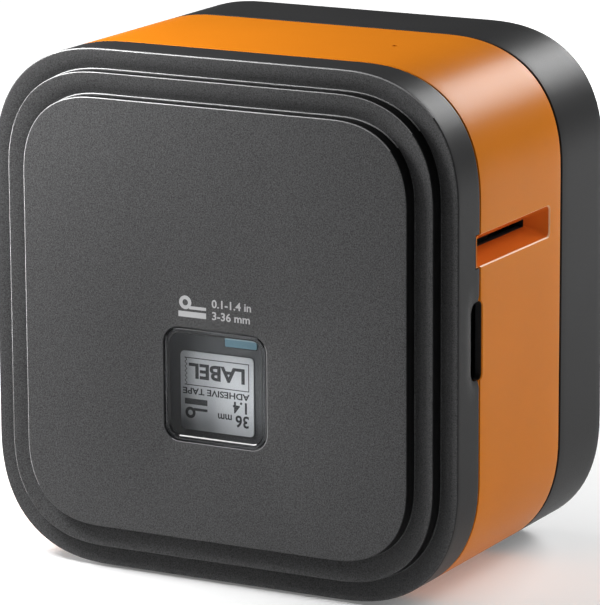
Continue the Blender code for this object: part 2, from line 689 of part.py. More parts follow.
def make_gear_train():
    """Motor pinion to idler, and idler to both the tape drive gear and the take-up gear."""
    idler_phase = 0.0
    gear("idler_gear", IDLER_TEETH, idler_phase, IDLER_AT, 1.7)
    for name, teeth, at, bore in (("tape_drive_gear", DRIVE_TEETH, DRIVE_AT, 1.6),
                                  ("take_up_gear", TAKE_UP_TEETH, TAKE_UP_AT, 1.6),
                                  ("motor_pinion", MOTOR_TEETH, MOTOR_AT, 1.1)):
        phase = meshing_phase(idler_phase, IDLER_TEETH, teeth, IDLER_AT, at)
        gear(name, teeth, phase, at, bore)
    cylinder("tape_drive_shaft", SHAFT_RADIUS, TAPE_Y[0] - 2, GEAR_Y[1] + 0.5, DRIVE_AT, STEEL, steps=12)
    cylinder("take_up_shaft", SHAFT_RADIUS, TAPE_Y[0] + 4, GEAR_Y[1] + 0.5, TAKE_UP_AT, STEEL, steps=12)
    cylinder("motor_shaft", MOTOR_SHAFT_RADIUS, GEAR_Y[0] - 0.3, 24, MOTOR_AT, STEEL, steps=12)
    turned("tape_drive_roller", ring_profile(DRIVE_RADIUS, 1.6, *TAPE_Y), DRIVE_AT, RUBBER)
    front, back, shoulder = 18.6, 41.0, 3.0
    bore, blind = MOTOR_SHAFT_RADIUS + SEAM, 26.0
    turned("drive_motor", ((MOTOR_RADIUS, back), (MOTOR_RADIUS, front), (shoulder, front),
                           (shoulder, front - 0.8), (bore, front - 0.8), (bore, blind), (0.6, blind),
                           (0.6, back)), MOTOR_AT, STEEL)


def make_print_head():
    """Thermal head below the tape, on the plate that carries its heat away."""
    back = FLOOR_Y[0] - 0.3
    box("heat_sink", (HEAD_X[0], TAPE_Y[0] - 1, HEAT_SINK_Z[0]), (HEAD_X[1], back, HEAT_SINK_Z[1]),
        STEEL, bevel=0.4)
    box("print_head", (HEAD_X[0] + 0.5, TAPE_Y[0] - 0.5, HEAT_SINK_Z[1] + SEAM),
        (HEAD_X[1] - 0.5, TAPE_Y[1] + 0.5, TAPE_Z - 0.6), GEAR_WHITE, bevel=0.3)


def make_roller_arm():
    """Arm that holds the platen and pinch rollers down on the tape while the cover is shut."""
    low, high = TAPE_Y[0] - 5.2, TAPE_Y[1] + 2.8
    outline = ((5, 109), (14, 107.3), (21, 94), (46, 92.6), (46.5, 100), (32, 108), (11, 115.6),
               (5, 115))
    arm = extruded("roller_arm", [outline], low, high, FRAME_BLACK,
                   origin=(ARM_PIVOT[0], low, ARM_PIVOT[1]))
    between = (low + 1.8, high - 1.8)
    cut(arm, box("arm_gap", (0, between[0], 88), (50, between[1], 105)),
        box("arm_ear_gap", (0, between[0], 104), (13.5, between[1], 120)),
        cylinder("arm_pivot_bore", 1.7, low - 2, high + 2, ARM_PIVOT, steps=12))
    for name, at in (("platen", PLATEN_AT), ("pinch", PINCH_AT)):
        cut(arm, cylinder(name + "_bore", 1.3, low - 2, high + 2, at, steps=12))
    for name, at, radius in (("platen_roller", PLATEN_AT, PLATEN_RADIUS),
                             ("pinch_roller", PINCH_AT, PINCH_RADIUS)):
        pin, front, back = ROLLER_PIN_RADIUS, low + 0.2, high - 0.2
        turned(name, ((0.3, back), (pin, back), (pin, TAPE_Y[1]), (radius, TAPE_Y[1]),
                      (radius, TAPE_Y[0]), (pin, TAPE_Y[0]), (pin, front), (0.3, front)), at, RUBBER, 24)


def make_arm_spring():
    """Torsion spring round the arm's pivot pin."""
    turns, per_turn, radius, wire = 4, 12, 2.5, 0.3
    curve = bpy.data.curves.new("arm_spring", "CURVE")
    curve.dimensions = "3D"
    curve.bevel_depth = wire * MM
    curve.bevel_resolution = 1
    curve.use_fill_caps = True
    spline = curve.splines.new("POLY")
    count = turns * per_turn
    spline.points.add(count)
    for i, point in enumerate(spline.points):
        angle = 2 * math.pi * i / per_turn
        point.co = ((ARM_PIVOT[0] + radius * math.cos(angle)) * MM, (-20 + 0.9 * i / per_turn) * MM,
                    (ARM_PIVOT[1] + radius * math.sin(angle)) * MM, 1)
    curve.materials.append(STEEL)
    PARTS.objects.link(bpy.data.objects.new("arm_spring", curve))


# ---------------------------------------------------------------- cutter

def make_cutter():
    """Fixed and moving shear blades across the tape, just inside the exit."""
    y, z = CUTTER_AT
    hole = circle(1.4, CUTTER_AT, 12)
    window = rectangle((TAPE_Y[0] - 1.4, TAPE_Y[1] + 1.4), CUTTER_WINDOW_Z)
    extruded("cutter_frame", [rectangle(CUTTER_FRAME_Y, CUTTER_FRAME_Z), window], *FRAME_X, FRAME_BLACK,
             "X")
    front, back = CUTTER_FRAME_Y
    fixed = [(front, FIXED_EDGE_Z - 10), (back, FIXED_EDGE_Z - 10), (back, FIXED_EDGE_Z + 3.5),
             (y - 3.5, FIXED_EDGE_Z + 3.5), (y - 3.5, FIXED_EDGE_Z), (front, FIXED_EDGE_Z)]
    extruded("fixed_blade", [fixed, hole], *FIXED_BLADE_X, STEEL, "X")
    cylinder("blade_pivot_pin", 1.2, FRAME_X[1] + 0.2, MOVING_BLADE_X[1] + 1, CUTTER_AT, STEEL, "X", 12)

    gear_at = (y, z - centre_distance(SECTOR_TEETH, CUTTER_TEETH))
    # The middle tooth of seven points down at half stroke, so it rests a half stroke behind.
    phase = -math.pi / 2 - CUTTER_OPEN / 2
    teeth = gear_outline(SECTOR_TEETH, phase, CUTTER_AT, -3, 7)
    edge = [(-41, 0.2), (-3.5, 0.2)]
    spine = [(4.5, 0.0), (4.0, 5.0), (-30, 9.0), (-41, 7.0)]
    lifted = [raised(point) for point in edge]
    back = [raised(point) for point in spine]
    extruded("moving_blade", [lifted + teeth + back, hole], *MOVING_BLADE_X, STEEL, "X",
             (MOVING_BLADE_X[0], y, z))
    pinion_phase = meshing_phase(phase, SECTOR_TEETH, CUTTER_TEETH, CUTTER_AT, gear_at)
    pinion = extruded("cutter_pinion", [gear_outline(CUTTER_TEETH, pinion_phase, gear_at)],
                      MOVING_BLADE_X[0] - 0.3, MOVING_BLADE_X[1] + 1.2, GEAR_WHITE, "X",
                      (MOVING_BLADE_X[0], *gear_at))
    join(pinion, cylinder("cutter_shaft", 0.9, MOVING_BLADE_X[1], 60, gear_at, None, "X", 12))
    motor = box("cutter_motor", (CUTTER_MOTOR_X[0], -2, gear_at[1] - 6),
                (CUTTER_MOTOR_X[1], 10, gear_at[1] + 7), STEEL, bevel=0.8)
    cut(motor, cylinder("cutter_motor_bore", 1.2, 50, 61, gear_at, None, "X", 12))


def raised(point):
    """A point of the shut blade, relative to its pivot, turned to where the open blade holds it."""
    cos, sin = math.cos(-CUTTER_OPEN), math.sin(-CUTTER_OPEN)
    return (CUTTER_AT[0] + point[0] * cos - point[1] * sin,
            CUTTER_AT[1] + point[0] * sin + point[1] * cos)


# ---------------------------------------------------------------- electrics

def make_electrics():
    box("main_board", *MAIN_BOARD, BOARD_GREEN)
    box("battery_pack", *BATTERY_PACK, TAPE_BLUE, bevel=2.0)
    box("cover_switch", *COVER_SWITCH, FRAME_BLACK, bevel=0.4)
    box("latch_catch", *LATCH_CATCH, FRAME_BLACK, bevel=0.4)
    cylinder("status_light_pipe", LIGHT_PIPE_RADIUS, 126, HEIGHT + 0.1, STATUS_LIGHT, WINDOW_CLEAR, "Z", 12)


def make_power_button():
    """Round-ended button in the band's left side, with its switch behind it."""
    face = -WIDTH / 2 + 0.15
    cap = round_ended(BUTTON_SIZE, BUTTON_AT)
    extruded("power_button", [cap], face, face + 3.2, SHELL_GREY, "X", (face, *BUTTON_AT))
    y, z = BUTTON_AT
    box("power_switch", (face + 4.2, y - 3, z - 3), (face + 7.2, y + 3, z + 3), FRAME_BLACK, bevel=0.3)


def make_charging_socket():
    y, z = SOCKET_AT
    front = -WIDTH / 2 + 0.5
    shell = extruded("charging_socket", [round_ended(SOCKET_SIZE, SOCKET_AT)], front, front + 7.5, STEEL,
                     "X")
    cut(shell, extruded("socket_mouth", [round_ended(SOCKET_SIZE, SOCKET_AT, -SOCKET_WALL)],
                        front - 2, front + 6.5, axis="X"))
    join(shell, box("socket_tongue", (front + 1.2, y - 3.2, z - 0.35), (front + 7, y + 3.2, z + 0.35)))


make_front_cover()
make_cover_window()
make_cover_hinge()
make_cover_fittings()
make_band()
make_rear_shell()
make_feet_and_screws()
make_chassis()
make_cassette()
make_cassette_label()
make_rolls()
make_gear_train()
make_print_head()
make_roller_arm()
make_arm_spring()
make_cutter()
make_electrics()
make_power_button()
make_charging_socket()
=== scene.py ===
"""The look of the cube label maker: fine shells, pane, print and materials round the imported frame.

Everything is in metres in the frame's own axes: X right, Y back, Z up. Lengths written as N * MM are
millimetres. The three shells and the pane are remade as finer meshes; the other parts keep their CAD
shape and get their materials here.
"""

import math

import bmesh
import bpy
from mathutils import Matrix, Vector


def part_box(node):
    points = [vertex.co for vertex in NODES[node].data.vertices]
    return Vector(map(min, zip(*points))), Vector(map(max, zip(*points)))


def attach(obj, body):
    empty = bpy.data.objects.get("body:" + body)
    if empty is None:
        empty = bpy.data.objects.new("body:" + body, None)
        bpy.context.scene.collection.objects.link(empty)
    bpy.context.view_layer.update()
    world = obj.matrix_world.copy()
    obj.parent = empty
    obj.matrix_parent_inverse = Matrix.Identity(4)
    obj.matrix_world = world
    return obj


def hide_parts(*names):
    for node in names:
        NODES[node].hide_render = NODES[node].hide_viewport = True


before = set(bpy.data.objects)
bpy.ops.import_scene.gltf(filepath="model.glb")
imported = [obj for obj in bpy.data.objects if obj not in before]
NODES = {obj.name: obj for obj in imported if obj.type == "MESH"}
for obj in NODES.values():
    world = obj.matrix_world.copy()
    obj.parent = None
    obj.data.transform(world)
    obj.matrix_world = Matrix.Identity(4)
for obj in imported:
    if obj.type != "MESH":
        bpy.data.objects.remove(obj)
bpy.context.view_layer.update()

MM = 0.001
SCENE = bpy.context.scene

# Sizes read from the frame
BAND_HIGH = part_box("band_housing")[1]
COVER_LOW, COVER_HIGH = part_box("front_cover")
SHELL_LOW, SHELL_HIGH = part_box("rear_shell")
PANE_LOW, PANE_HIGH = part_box("cover_window")
LID_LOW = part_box("cassette_lid")[0]
LABEL_LOW, LABEL_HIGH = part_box("cassette_label")
WIDTH = SHELL_HIGH.x - SHELL_LOW.x
HEIGHT = SHELL_HIGH.z - SHELL_LOW.z
CENTRE_Z = (SHELL_HIGH.z + SHELL_LOW.z) / 2
SIDE_X = WIDTH / 2
PLATE_Y = COVER_LOW.y
COVER_REAR_Y = COVER_HIGH.y
BACK_Y = SHELL_HIGH.y

# Shape of the shells
CORNER = 33.3 * MM
CORNER_POWER = 2.4
WALL = 2.0 * MM
TERRACES = (5.6 * MM, 11.6 * MM)
FRONT_RISES = (2.5 * MM, 2.4 * MM)
BACK_RISES = (1.2 * MM, 1.2 * MM)
FRONT_DISH = 1.7 * MM
RIM_Y = PLATE_Y + sum(FRONT_RISES)
BACK_RIM_Y = BACK_Y - sum(BACK_RISES)
BAND_FRONT_Y = COVER_REAR_Y + 0.3 * MM

# Openings in the right side
EXIT_Y = (-31.25 * MM, 11.15 * MM)
EXIT_Z = (87.55 * MM, 95.5 * MM)
SLOT_Y = (-30.9 * MM, 5.95 * MM)
SLOT_Z = (90.55 * MM, 92.45 * MM)
EXIT_DEPTH = 5.0 * MM
NOTCH_Y = (-32.55 * MM, -27.65 * MM)
NOTCH_Z = (58.70 * MM, 78.85 * MM)
NOTCH_CORNER = 1.6 * MM
NOTCH_DEPTH = 6 * MM
MOUTH_FLARE = 0.35 * MM

# Holes, bosses and pockets
SCREW_POST, SCREW_SEAT, SCREW_BORE = 4.0 * MM, 3.0 * MM, 1.6 * MM
FOOT_POCKET, FOOT_POCKET_TOP = 4.8 * MM, 1.3 * MM
LIGHT_HOLE = 0.75 * MM
EXIT_BLOCK_WALL = 2.2 * MM

# Print
PRINT_RISE = 0.03 * MM

# Direction, seen from the front, from which the key light falls; the cover's convex edges that face it get
# a painted highlight
UPPER_LEFT = Vector((-0.6, 0.0, 0.8))


# ---------------------------------------------------------------- materials

def shader_of(name):
    """A new material, with its node tree and its Principled BSDF."""
    material = bpy.data.materials.new(name)
    material.use_nodes = True
    tree = material.node_tree
    return material, tree, tree.nodes["Principled BSDF"]


def noise(tree, scale, detail=2.0, stretch=(1, 1, 1), roughness=0.5):
    """A noise texture's factor, in object space, so that it stays put on the piece."""
    place = tree.nodes.new("ShaderNodeTexCoord")
    mapping = tree.nodes.new("ShaderNodeMapping")
    mapping.inputs["Scale"].default_value = stretch
    texture = tree.nodes.new("ShaderNodeTexNoise")
    texture.inputs["Scale"].default_value = scale
    texture.inputs["Detail"].default_value = detail
    texture.inputs["Roughness"].default_value = roughness
    tree.links.new(place.outputs["Object"], mapping.inputs["Vector"])
    tree.links.new(mapping.outputs["Vector"], texture.inputs["Vector"])
    return texture.outputs["Fac"]


def ramp(tree, factor, stops):
    """Colours along a factor: stops are (position, (r, g, b))."""
    node = tree.nodes.new("ShaderNodeValToRGB")
    elements = node.color_ramp.elements
    while len(elements) < len(stops):
        elements.new(0.5)
    for element, (position, colour) in zip(elements, stops):
        element.position = position
        element.color = (*colour, 1.0)
    tree.links.new(factor, node.inputs["Fac"])
    return node.outputs["Color"]


def spread(tree, factor, low, high):
    """The factor's useful middle range turned into the range low to high."""
    node = tree.nodes.new("ShaderNodeMapRange")
    node.inputs["From Min"].default_value = 0.3
    node.inputs["From Max"].default_value = 0.7
    node.inputs["To Min"].default_value = low
    node.inputs["To Max"].default_value = high
    tree.links.new(factor, node.inputs["Value"])
    return node.outputs["Result"]


def bump(tree, shader, height, distance, strength=1.0):
    node = tree.nodes.new("ShaderNodeBump")
    node.inputs["Strength"].default_value = strength
    node.inputs["Distance"].default_value = distance
    tree.links.new(height, node.inputs["Height"])
    tree.links.new(node.outputs["Normal"], shader.inputs["Normal"])


def shade(colour, amount):
    return tuple(min(1.0, c * amount) for c in colour)


def moulded(name, colour, roughness, grain=2600, depth=0.02, vary=0.08, specular=0.5, coat=0.0):
    """Moulded plastic: spark-eroded grain, slight drift of tone over the part, uneven gloss."""
    material, tree, shader = shader_of(name)
    broad = noise(tree, 28, 2)
    fine = noise(tree, grain, 3, roughness=0.6)
    tree.links.new(ramp(tree, broad, [(0.3, shade(colour, 1 - vary)), (0.7, shade(colour, 1 + vary))]),
                   shader.inputs["Base Color"])
    tree.links.new(spread(tree, fine, roughness - 0.05, roughness + 0.05), shader.inputs["Roughness"])
    shader.inputs["Specular IOR Level"].default_value = specular
    shader.inputs["Coat Weight"].default_value = coat
    bump(tree, shader, fine, depth * MM)
    return material


def speckled(name, colour, roughness, grain, contrast, depth):
    """Painted matt plastic whose grain shows as light and dark specks."""
    material, tree, shader = shader_of(name)
    fine = noise(tree, grain, 3, roughness=0.7)
    tree.links.new(ramp(tree, fine, [(0.3, shade(colour, 1 - contrast)),
                                     (0.7, shade(colour, 1 + contrast))]), shader.inputs["Base Color"])
    tree.links.new(spread(tree, fine, roughness - 0.06, roughness + 0.06), shader.inputs["Roughness"])
    shader.inputs["Specular IOR Level"].default_value = 0.15
    bump(tree, shader, noise(tree, grain * 1.3, 2), depth * MM)
    return material


def brushed(name, colour, roughness, along, grain=900):
    """Metal with fine drawn lines along one axis and faint stains."""
    material, tree, shader = shader_of(name)
    stretch = [1.0, 1.0, 1.0]
    stretch["XYZ".index(along)] = 0.04
    lines = noise(tree, grain, 4, stretch)
    tree.links.new(ramp(tree, lines, [(0.3, shade(colour, 0.82)), (0.7, shade(colour, 1.1))]),
                   shader.inputs["Base Color"])
    tree.links.new(spread(tree, lines, roughness - 0.07, roughness + 0.1), shader.inputs["Roughness"])
    shader.inputs["Metallic"].default_value = 1.0
    bump(tree, shader, lines, 0.01 * MM)
    return material


def wound(name, light, dark, pitch, roughness):
    """The edge of a wound roll: rings round the roll's own axis, which runs along Y."""
    material, tree, shader = shader_of(name)
    place = tree.nodes.new("ShaderNodeTexCoord")
    rings = tree.nodes.new("ShaderNodeTexWave")
    rings.wave_type = "RINGS"
    rings.rings_direction = "Y"
    rings.inputs["Scale"].default_value = 1 / pitch / 3
    rings.inputs["Distortion"].default_value = 0.4
    tree.links.new(place.outputs["Object"], rings.inputs["Vector"])
    tree.links.new(ramp(tree, rings.outputs["Fac"], [(0.2, dark), (0.8, light)]),
                   shader.inputs["Base Color"])
    tree.links.new(spread(tree, noise(tree, 500), roughness - 0.06, roughness + 0.06),
                   shader.inputs["Roughness"])
    bump(tree, shader, rings.outputs["Fac"], 0.02 * MM)
    return material


def clear_pane(name, tint, gloss):
    """Clear moulded plastic: what is behind shows through, and only its outer faces mirror."""
    material, tree, shader = shader_of(name)
    shader.inputs["Base Color"].default_value = (*tint, 1.0)
    shader.inputs["Roughness"].default_value = 0.04
    shader.inputs["Specular IOR Level"].default_value = 0.8
    clear = tree.nodes.new("ShaderNodeBsdfTransparent")
    clear.inputs["Color"].default_value = (0.93, 0.94, 0.95, 1.0)
    facing = tree.nodes.new("ShaderNodeFresnel")
    facing.inputs["IOR"].default_value = gloss
    side = tree.nodes.new("ShaderNodeNewGeometry")
    outer = tree.nodes.new("ShaderNodeMath")
    outer.operation = "SUBTRACT"
    outer.use_clamp = True
    bump(tree, shader, noise(tree, 60, 1), 0.01 * MM, 0.3)
    mix = tree.nodes.new("ShaderNodeMixShader")
    output = tree.nodes["Material Output"]
    tree.links.new(facing.outputs["Fac"], outer.inputs[0])
    tree.links.new(side.outputs["Backfacing"], outer.inputs[1])
    tree.links.new(outer.outputs["Value"], mix.inputs["Fac"])
    tree.links.new(clear.outputs["BSDF"], mix.inputs[1])
    tree.links.new(shader.outputs["BSDF"], mix.inputs[2])
    tree.links.new(mix.outputs["Shader"], output.inputs["Surface"])
    return material


def circuit_green(name):
    """Solder mask over tracks: a fine grid of raised lines under the lacquer."""
    material, tree, shader = shader_of(name)
    place = tree.nodes.new("ShaderNodeTexCoord")
    tracks = tree.nodes.new("ShaderNodeTexBrick")
    tracks.inputs["Color1"].default_value = (0.02, 0.17, 0.06, 1)
    tracks.inputs["Color2"].default_value = (0.015, 0.12, 0.045, 1)
    tracks.inputs["Mortar"].default_value = (0.05, 0.26, 0.11, 1)
    tracks.inputs["Scale"].default_value = 160
    tracks.inputs["Mortar Size"].default_value = 0.04
    turn = tree.nodes.new("ShaderNodeMapping")
    turn.inputs["Rotation"].default_value = (math.pi / 2, 0, 0)
    tree.links.new(place.outputs["Object"], turn.inputs["Vector"])
    tree.links.new(turn.outputs["Vector"], tracks.inputs["Vector"])
    tree.links.new(tracks.outputs["Color"], shader.inputs["Base Color"])
    tree.links.new(spread(tree, noise(tree, 700), 0.25, 0.4), shader.inputs["Roughness"])
    bump(tree, shader, tracks.outputs["Fac"], 0.02 * MM)
    return material


COVER_FACE = speckled("cover_face_grey", (0.062, 0.062, 0.063), 0.50, 2900, 0.62, 0.05)
# Near-black painted shade on the terrace walls and creases, where the steps shade each other
COVER_STEP_PAINTED_SHADE = speckled("cover_step_painted_shade", (0.007, 0.007, 0.0072), 0.34, 2500, 0.3, 0.02)
COVER_SIDE = moulded("cover_side_grey", (0.027, 0.027, 0.0275), 0.40, 3200, 0.012, specular=0.06)
SHELL_SIDE = moulded("rear_shell_grey", (0.027, 0.027, 0.0275), 0.40, 3200, 0.012, specular=0.06)
# Light grey painted highlight on the cover's convex edges that face the key light
COVER_EDGE_PAINTED_HIGHLIGHT = moulded("cover_edge_painted_highlight", (0.26, 0.26, 0.262), 0.26, 3200, 0.004, specular=0.9)
# Light grey painted highlight on the lower right lip of the window's hole
LIP_PAINTED_HIGHLIGHT = moulded("window_lip_painted_highlight", (0.26, 0.26, 0.262), 0.20, 3200, 0.002, specular=0.9)
# Near-black painted shade inside the cover, the tape slot and the finger notch
INNER_PAINTED_SHADE = moulded("inner_painted_shade", (0.012, 0.012, 0.013), 0.55, 1500, 0.02)
BAND_ORANGE = moulded("band_orange", (0.585, 0.172, 0.006), 0.36, 3400, 0.010, vary=0.03, specular=0.06)
# Deeper, redder orange on the exit's ramps: painted shade inside the funnel
BAND_RAMP_PAINTED_SHADE = moulded("band_ramp_painted_shade", (0.60, 0.120, 0.016), 0.50, 3400, 0.010, vary=0.06, specular=0.0)
# Peach painted highlight on the flare round the exit's mouth
BAND_FLARE_PAINTED_HIGHLIGHT = moulded("band_flare_painted_highlight", (0.85, 0.50, 0.28), 0.42, 3400, 0.004, vary=0.02, specular=0.12)
PANE_CLEAR = clear_pane("pane_clear", (0.55, 0.56, 0.58), 1.45)
# Opaque light grey on the pane's rounded edge: a painted highlight
PANE_EDGE_PAINTED_HIGHLIGHT = moulded("pane_edge_painted_highlight", (0.12, 0.12, 0.125), 0.20, 900, 0.001, specular=0.4)
# Opaque near-black on the pane's dish rim: painted shade that draws the second line
PANE_STEP_PAINTED_SHADE = moulded("pane_step_painted_shade", (0.012, 0.012, 0.013), 0.14, 900, 0.001, specular=0.4)
# Near-black painted shade on the walls of the window's hole
MOAT_PAINTED_SHADE = moulded("moat_painted_shade", (0.006, 0.006, 0.007), 0.30, 1500, 0.01)
SMOKED = moulded("cassette_smoke", (0.085, 0.086, 0.088), 0.32, 1800, 0.002, coat=0.2)
PAPER = speckled("label_paper", (0.80, 0.80, 0.80), 0.55, 1500, 0.04, 0.004)
PRINT_BLACK = moulded("print_black", (0.035, 0.035, 0.037), 0.5, 4000, 0.004)
PRINT_SILVER = moulded("print_silver", (0.36, 0.36, 0.365), 0.45, 4000, 0.006)
FRAME_BLACK = moulded("frame_black", (0.022, 0.022, 0.024), 0.50, 1700, 0.03)
GEAR_WHITE = moulded("gear_acetal", (0.72, 0.71, 0.66), 0.42, 1200, 0.02, vary=0.05)
CERAMIC = moulded("head_ceramic", (0.74, 0.73, 0.70), 0.22, 2400, 0.004)
RUBBER = moulded("black_rubber", (0.017, 0.017, 0.018), 0.78, 1900, 0.05)
STEEL_Y = brushed("steel_along_y", (0.56, 0.56, 0.58), 0.30, "Y")
STEEL_Z = brushed("steel_along_z", (0.58, 0.58, 0.60), 0.26, "Z")
ALUMINIUM = brushed("head_aluminium", (0.72, 0.72, 0.74), 0.36, "Y", 700)
TAPE_BLUE = wound("tape_blue", (0.36, 0.60, 0.66), (0.25, 0.46, 0.52), 0.9 * MM, 0.35)
FILM_CLEAR = wound("film_clear", (0.52, 0.53, 0.55), (0.38, 0.39, 0.42), 0.8 * MM, 0.2)
RIBBON_BLACK = wound("ribbon_black", (0.03, 0.03, 0.035), (0.012, 0.012, 0.014), 0.7 * MM, 0.3)
SIGHT_BLUE = moulded("sight_blue", (0.20, 0.38, 0.46), 0.30, 1500, 0.002)
SIGHT_PALE = moulded("sight_pale", (0.42, 0.58, 0.64), 0.30, 1500, 0.002)
BOARD_GREEN = circuit_green("board_green")
BATTERY_BLUE = moulded("battery_wrap", (0.05, 0.16, 0.30), 0.30, 600, 0.03, vary=0.12, coat=0.4)
LIGHT_PIPE = moulded("light_pipe", (0.45, 0.46, 0.48), 0.15, 900, 0.01)

CAD_MATERIALS = {
    RUBBER: ("foot_1", "foot_2", "foot_3", "foot_4", "platen_roller", "pinch_roller",
             "tape_drive_roller", "press_bar"),
    STEEL_Y: ("case_screw_1", "case_screw_2", "case_screw_3", "case_screw_4", "arm_pivot_pin",
              "arm_spring", "idler_shaft", "tape_drive_shaft", "take_up_shaft", "motor_shaft",
              "drive_motor", "fixed_blade", "moving_blade"),
    STEEL_Z: ("hinge_pin", "blade_pivot_pin", "cutter_motor", "charging_socket"),
    ALUMINIUM: ("heat_sink",),
    FRAME_BLACK: ("chassis", "cutter_frame", "hinge_bracket", "hinge_arm_lower", "hinge_arm_upper",
                  "latch_tab", "latch_catch", "roller_arm", "cover_switch", "power_switch"),
    CERAMIC: ("print_head",),
    GEAR_WHITE: ("idler_gear", "tape_drive_gear", "take_up_gear", "motor_pinion", "cutter_pinion",
                 "tape_core"),
    SMOKED: ("cassette_case", "cassette_lid"),
    PAPER: ("cassette_label",),
    TAPE_BLUE: ("tape_roll",),
    FILM_CLEAR: ("film_roll",),
    RIBBON_BLACK: ("ribbon_supply_roll", "ribbon_take_up_spool"),
    BOARD_GREEN: ("main_board",),
    BATTERY_BLUE: ("battery_pack",),
    SHELL_SIDE: ("power_button",),
    LIGHT_PIPE: ("status_light_pipe",),
}


def dress_cad_nodes():
    for material, names in CAD_MATERIALS.items():
        for name in names:
            node = NODES[name]
            node.data.materials.clear()
            node.data.materials.append(material)
            node.data.shade_smooth()
            node.data.set_sharp_from_angle(angle=math.radians(35))


# ---------------------------------------------------------------- outlines and profiles

def rounded(width, height, radius, centre, power=2.0, corner_steps=16, side_steps=1):
    """Anticlockwise outline with superellipse corners. Its straight sides are cut into side_steps."""
    corners = []
    for across, up, backwards in ((1, 1, False), (-1, 1, True), (-1, -1, False), (1, -1, True)):
        turns = [math.pi / 2 * i / corner_steps for i in range(corner_steps + 1)]
        corner = []
        for turn in reversed(turns) if backwards else turns:
            u = width / 2 - radius + radius * math.cos(turn) ** (2 / power)
            v = height / 2 - radius + radius * math.sin(turn) ** (2 / power)
            corner.append(Vector((centre[0] + across * u, centre[1] + up * v)))
        corners.append(corner)
    points = []
    for i, corner in enumerate(corners):
        points += corner
        start, end = corner[-1], corners[(i + 1) % 4][0]
        points += [start.lerp(end, k / side_steps) for k in range(1, side_steps)]
    return points


def body_outline(inset):
    return rounded(WIDTH - 2 * inset, HEIGHT - 2 * inset, CORNER - inset, (0, CENTRE_Z),
                   CORNER_POWER, 22, 18)


def filleted(points, steps=6):
    """A chain of (across, along, radius) corners as points, each corner rounded to its radius."""
    chain = []
    for i, (u, v, radius) in enumerate(points):
        here = Vector((u, v))
        if not radius or i in (0, len(points) - 1):
            chain.append(here)
            continue
        back = Vector(points[i - 1][:2]) - here
        ahead = Vector(points[i + 1][:2]) - here
        half = back.angle(ahead) / 2
        reach = min(radius / math.tan(half), 0.48 * back.length, 0.48 * ahead.length)
        start, end = here + back.normalized() * reach, here + ahead.normalized() * reach
        for k in range(steps + 1):
            t = k / steps
            chain.append(start * (1 - t) ** 2 + here * 2 * t * (1 - t) + end * t ** 2)
    return chain


def evenly(chain, longest):
    """The chain with its long stretches cut up, so that no step is longer than the given length."""
    points = [chain[0]]
    for before, after in zip(chain, chain[1:]):
        count = max(1, math.ceil((after - before).length / longest))
        points += [before.lerp(after, k / count) for k in range(1, count + 1)]
    return points


# ---------------------------------------------------------------- meshes

def finished(name, bm, materials, sharp=40):
    bmesh.ops.recalc_face_normals(bm, faces=bm.faces)
    mesh = bpy.data.meshes.new(name)
    bm.to_mesh(mesh)
    bm.free()
    for material in materials:
        mesh.materials.append(material)
    piece = bpy.data.objects.new(name, mesh)
    SCENE.collection.objects.link(piece)
    mesh.shade_smooth()
    mesh.set_sharp_from_angle(angle=math.radians(sharp))
    return piece


def rings_between(bm, rings, closed=False):
    """Quads between successive rings of vertices."""
    pairs = list(zip(rings, rings[1:] + rings[:1] if closed else rings[1:]))
    faces = []
    for lower, upper in pairs:
        for i in range(len(lower)):
            faces.append(bm.faces.new((lower[i - 1], lower[i], upper[i], upper[i - 1])))
    return faces


def ring_of(bm, outline, y):
    return [bm.verts.new((x, y, z)) for x, z in outline]


def fill_between(bm, outer, inner_loops):
    """Flat faces between an outer ring and the loops inside it."""
    edges = []
    for ring in (outer, *inner_loops):
        edges += [bm.edges.get((ring[i - 1], ring[i])) or bm.edges.new((ring[i - 1], ring[i]))
                  for i in range(len(ring))]
    bmesh.ops.triangle_fill(bm, use_beauty=True, edges=edges)


def body_rings(bm, chain):
    return [ring_of(bm, body_outline(inset), y) for inset, y in chain]


def solid_along_x(name, sections):
    """A closed solid through outlines in Y and Z at successive X, for cutting."""
    bm = bmesh.new()
    rings = [[bm.verts.new((x, y, z)) for y, z in outline] for x, outline in sections]
    rings_between(bm, rings)
    bm.faces.new(rings[0])
    bm.faces.new(rings[-1])
    return finished(name, bm, [])


def round_bar(name, radius, start, end, steps=32):
    """A closed round bar between two points, for cutting or joining."""
    bm = bmesh.new()
    line = end - start
    bmesh.ops.create_cone(bm, cap_ends=True, segments=steps, radius1=radius, radius2=radius,
                          depth=line.length)
    turn = line.to_track_quat("Z", "Y").to_matrix().to_4x4()
    bmesh.ops.transform(bm, verts=bm.verts, matrix=Matrix.Translation((start + end) / 2) @ turn)
    return finished(name, bm, [])


def block(name, low, high, materials=()):
    bm = bmesh.new()
    bmesh.ops.create_cube(bm, size=1.0)
    low, high = Vector(low), Vector(high)
    bmesh.ops.scale(bm, verts=bm.verts, vec=high - low)
    bmesh.ops.translate(bm, verts=bm.verts, vec=(high + low) / 2)
    return finished(name, bm, materials)


def shape_with(piece, operation, *tools):
    """Cuts or joins the tools, applies the result to the mesh, and removes them."""
    for tool in tools:
        boolean = piece.modifiers.new(tool.name, "BOOLEAN")
        boolean.operation = operation
        boolean.object = tool
        boolean.solver = "EXACT"
        boolean.material_mode = "TRANSFER"
        bpy.context.view_layer.update()
        graph = bpy.context.evaluated_depsgraph_get()
        mesh = bpy.data.meshes.new_from_object(piece.evaluated_get(graph))
        piece.modifiers.clear()
        old = piece.data
        piece.data = mesh
        bpy.data.meshes.remove(old)
        bpy.data.objects.remove(tool)
    piece.data.name = piece.name
    piece.data.shade_smooth()
    piece.data.set_sharp_from_angle(angle=math.radians(40))


# ---------------------------------------------------------------- shells

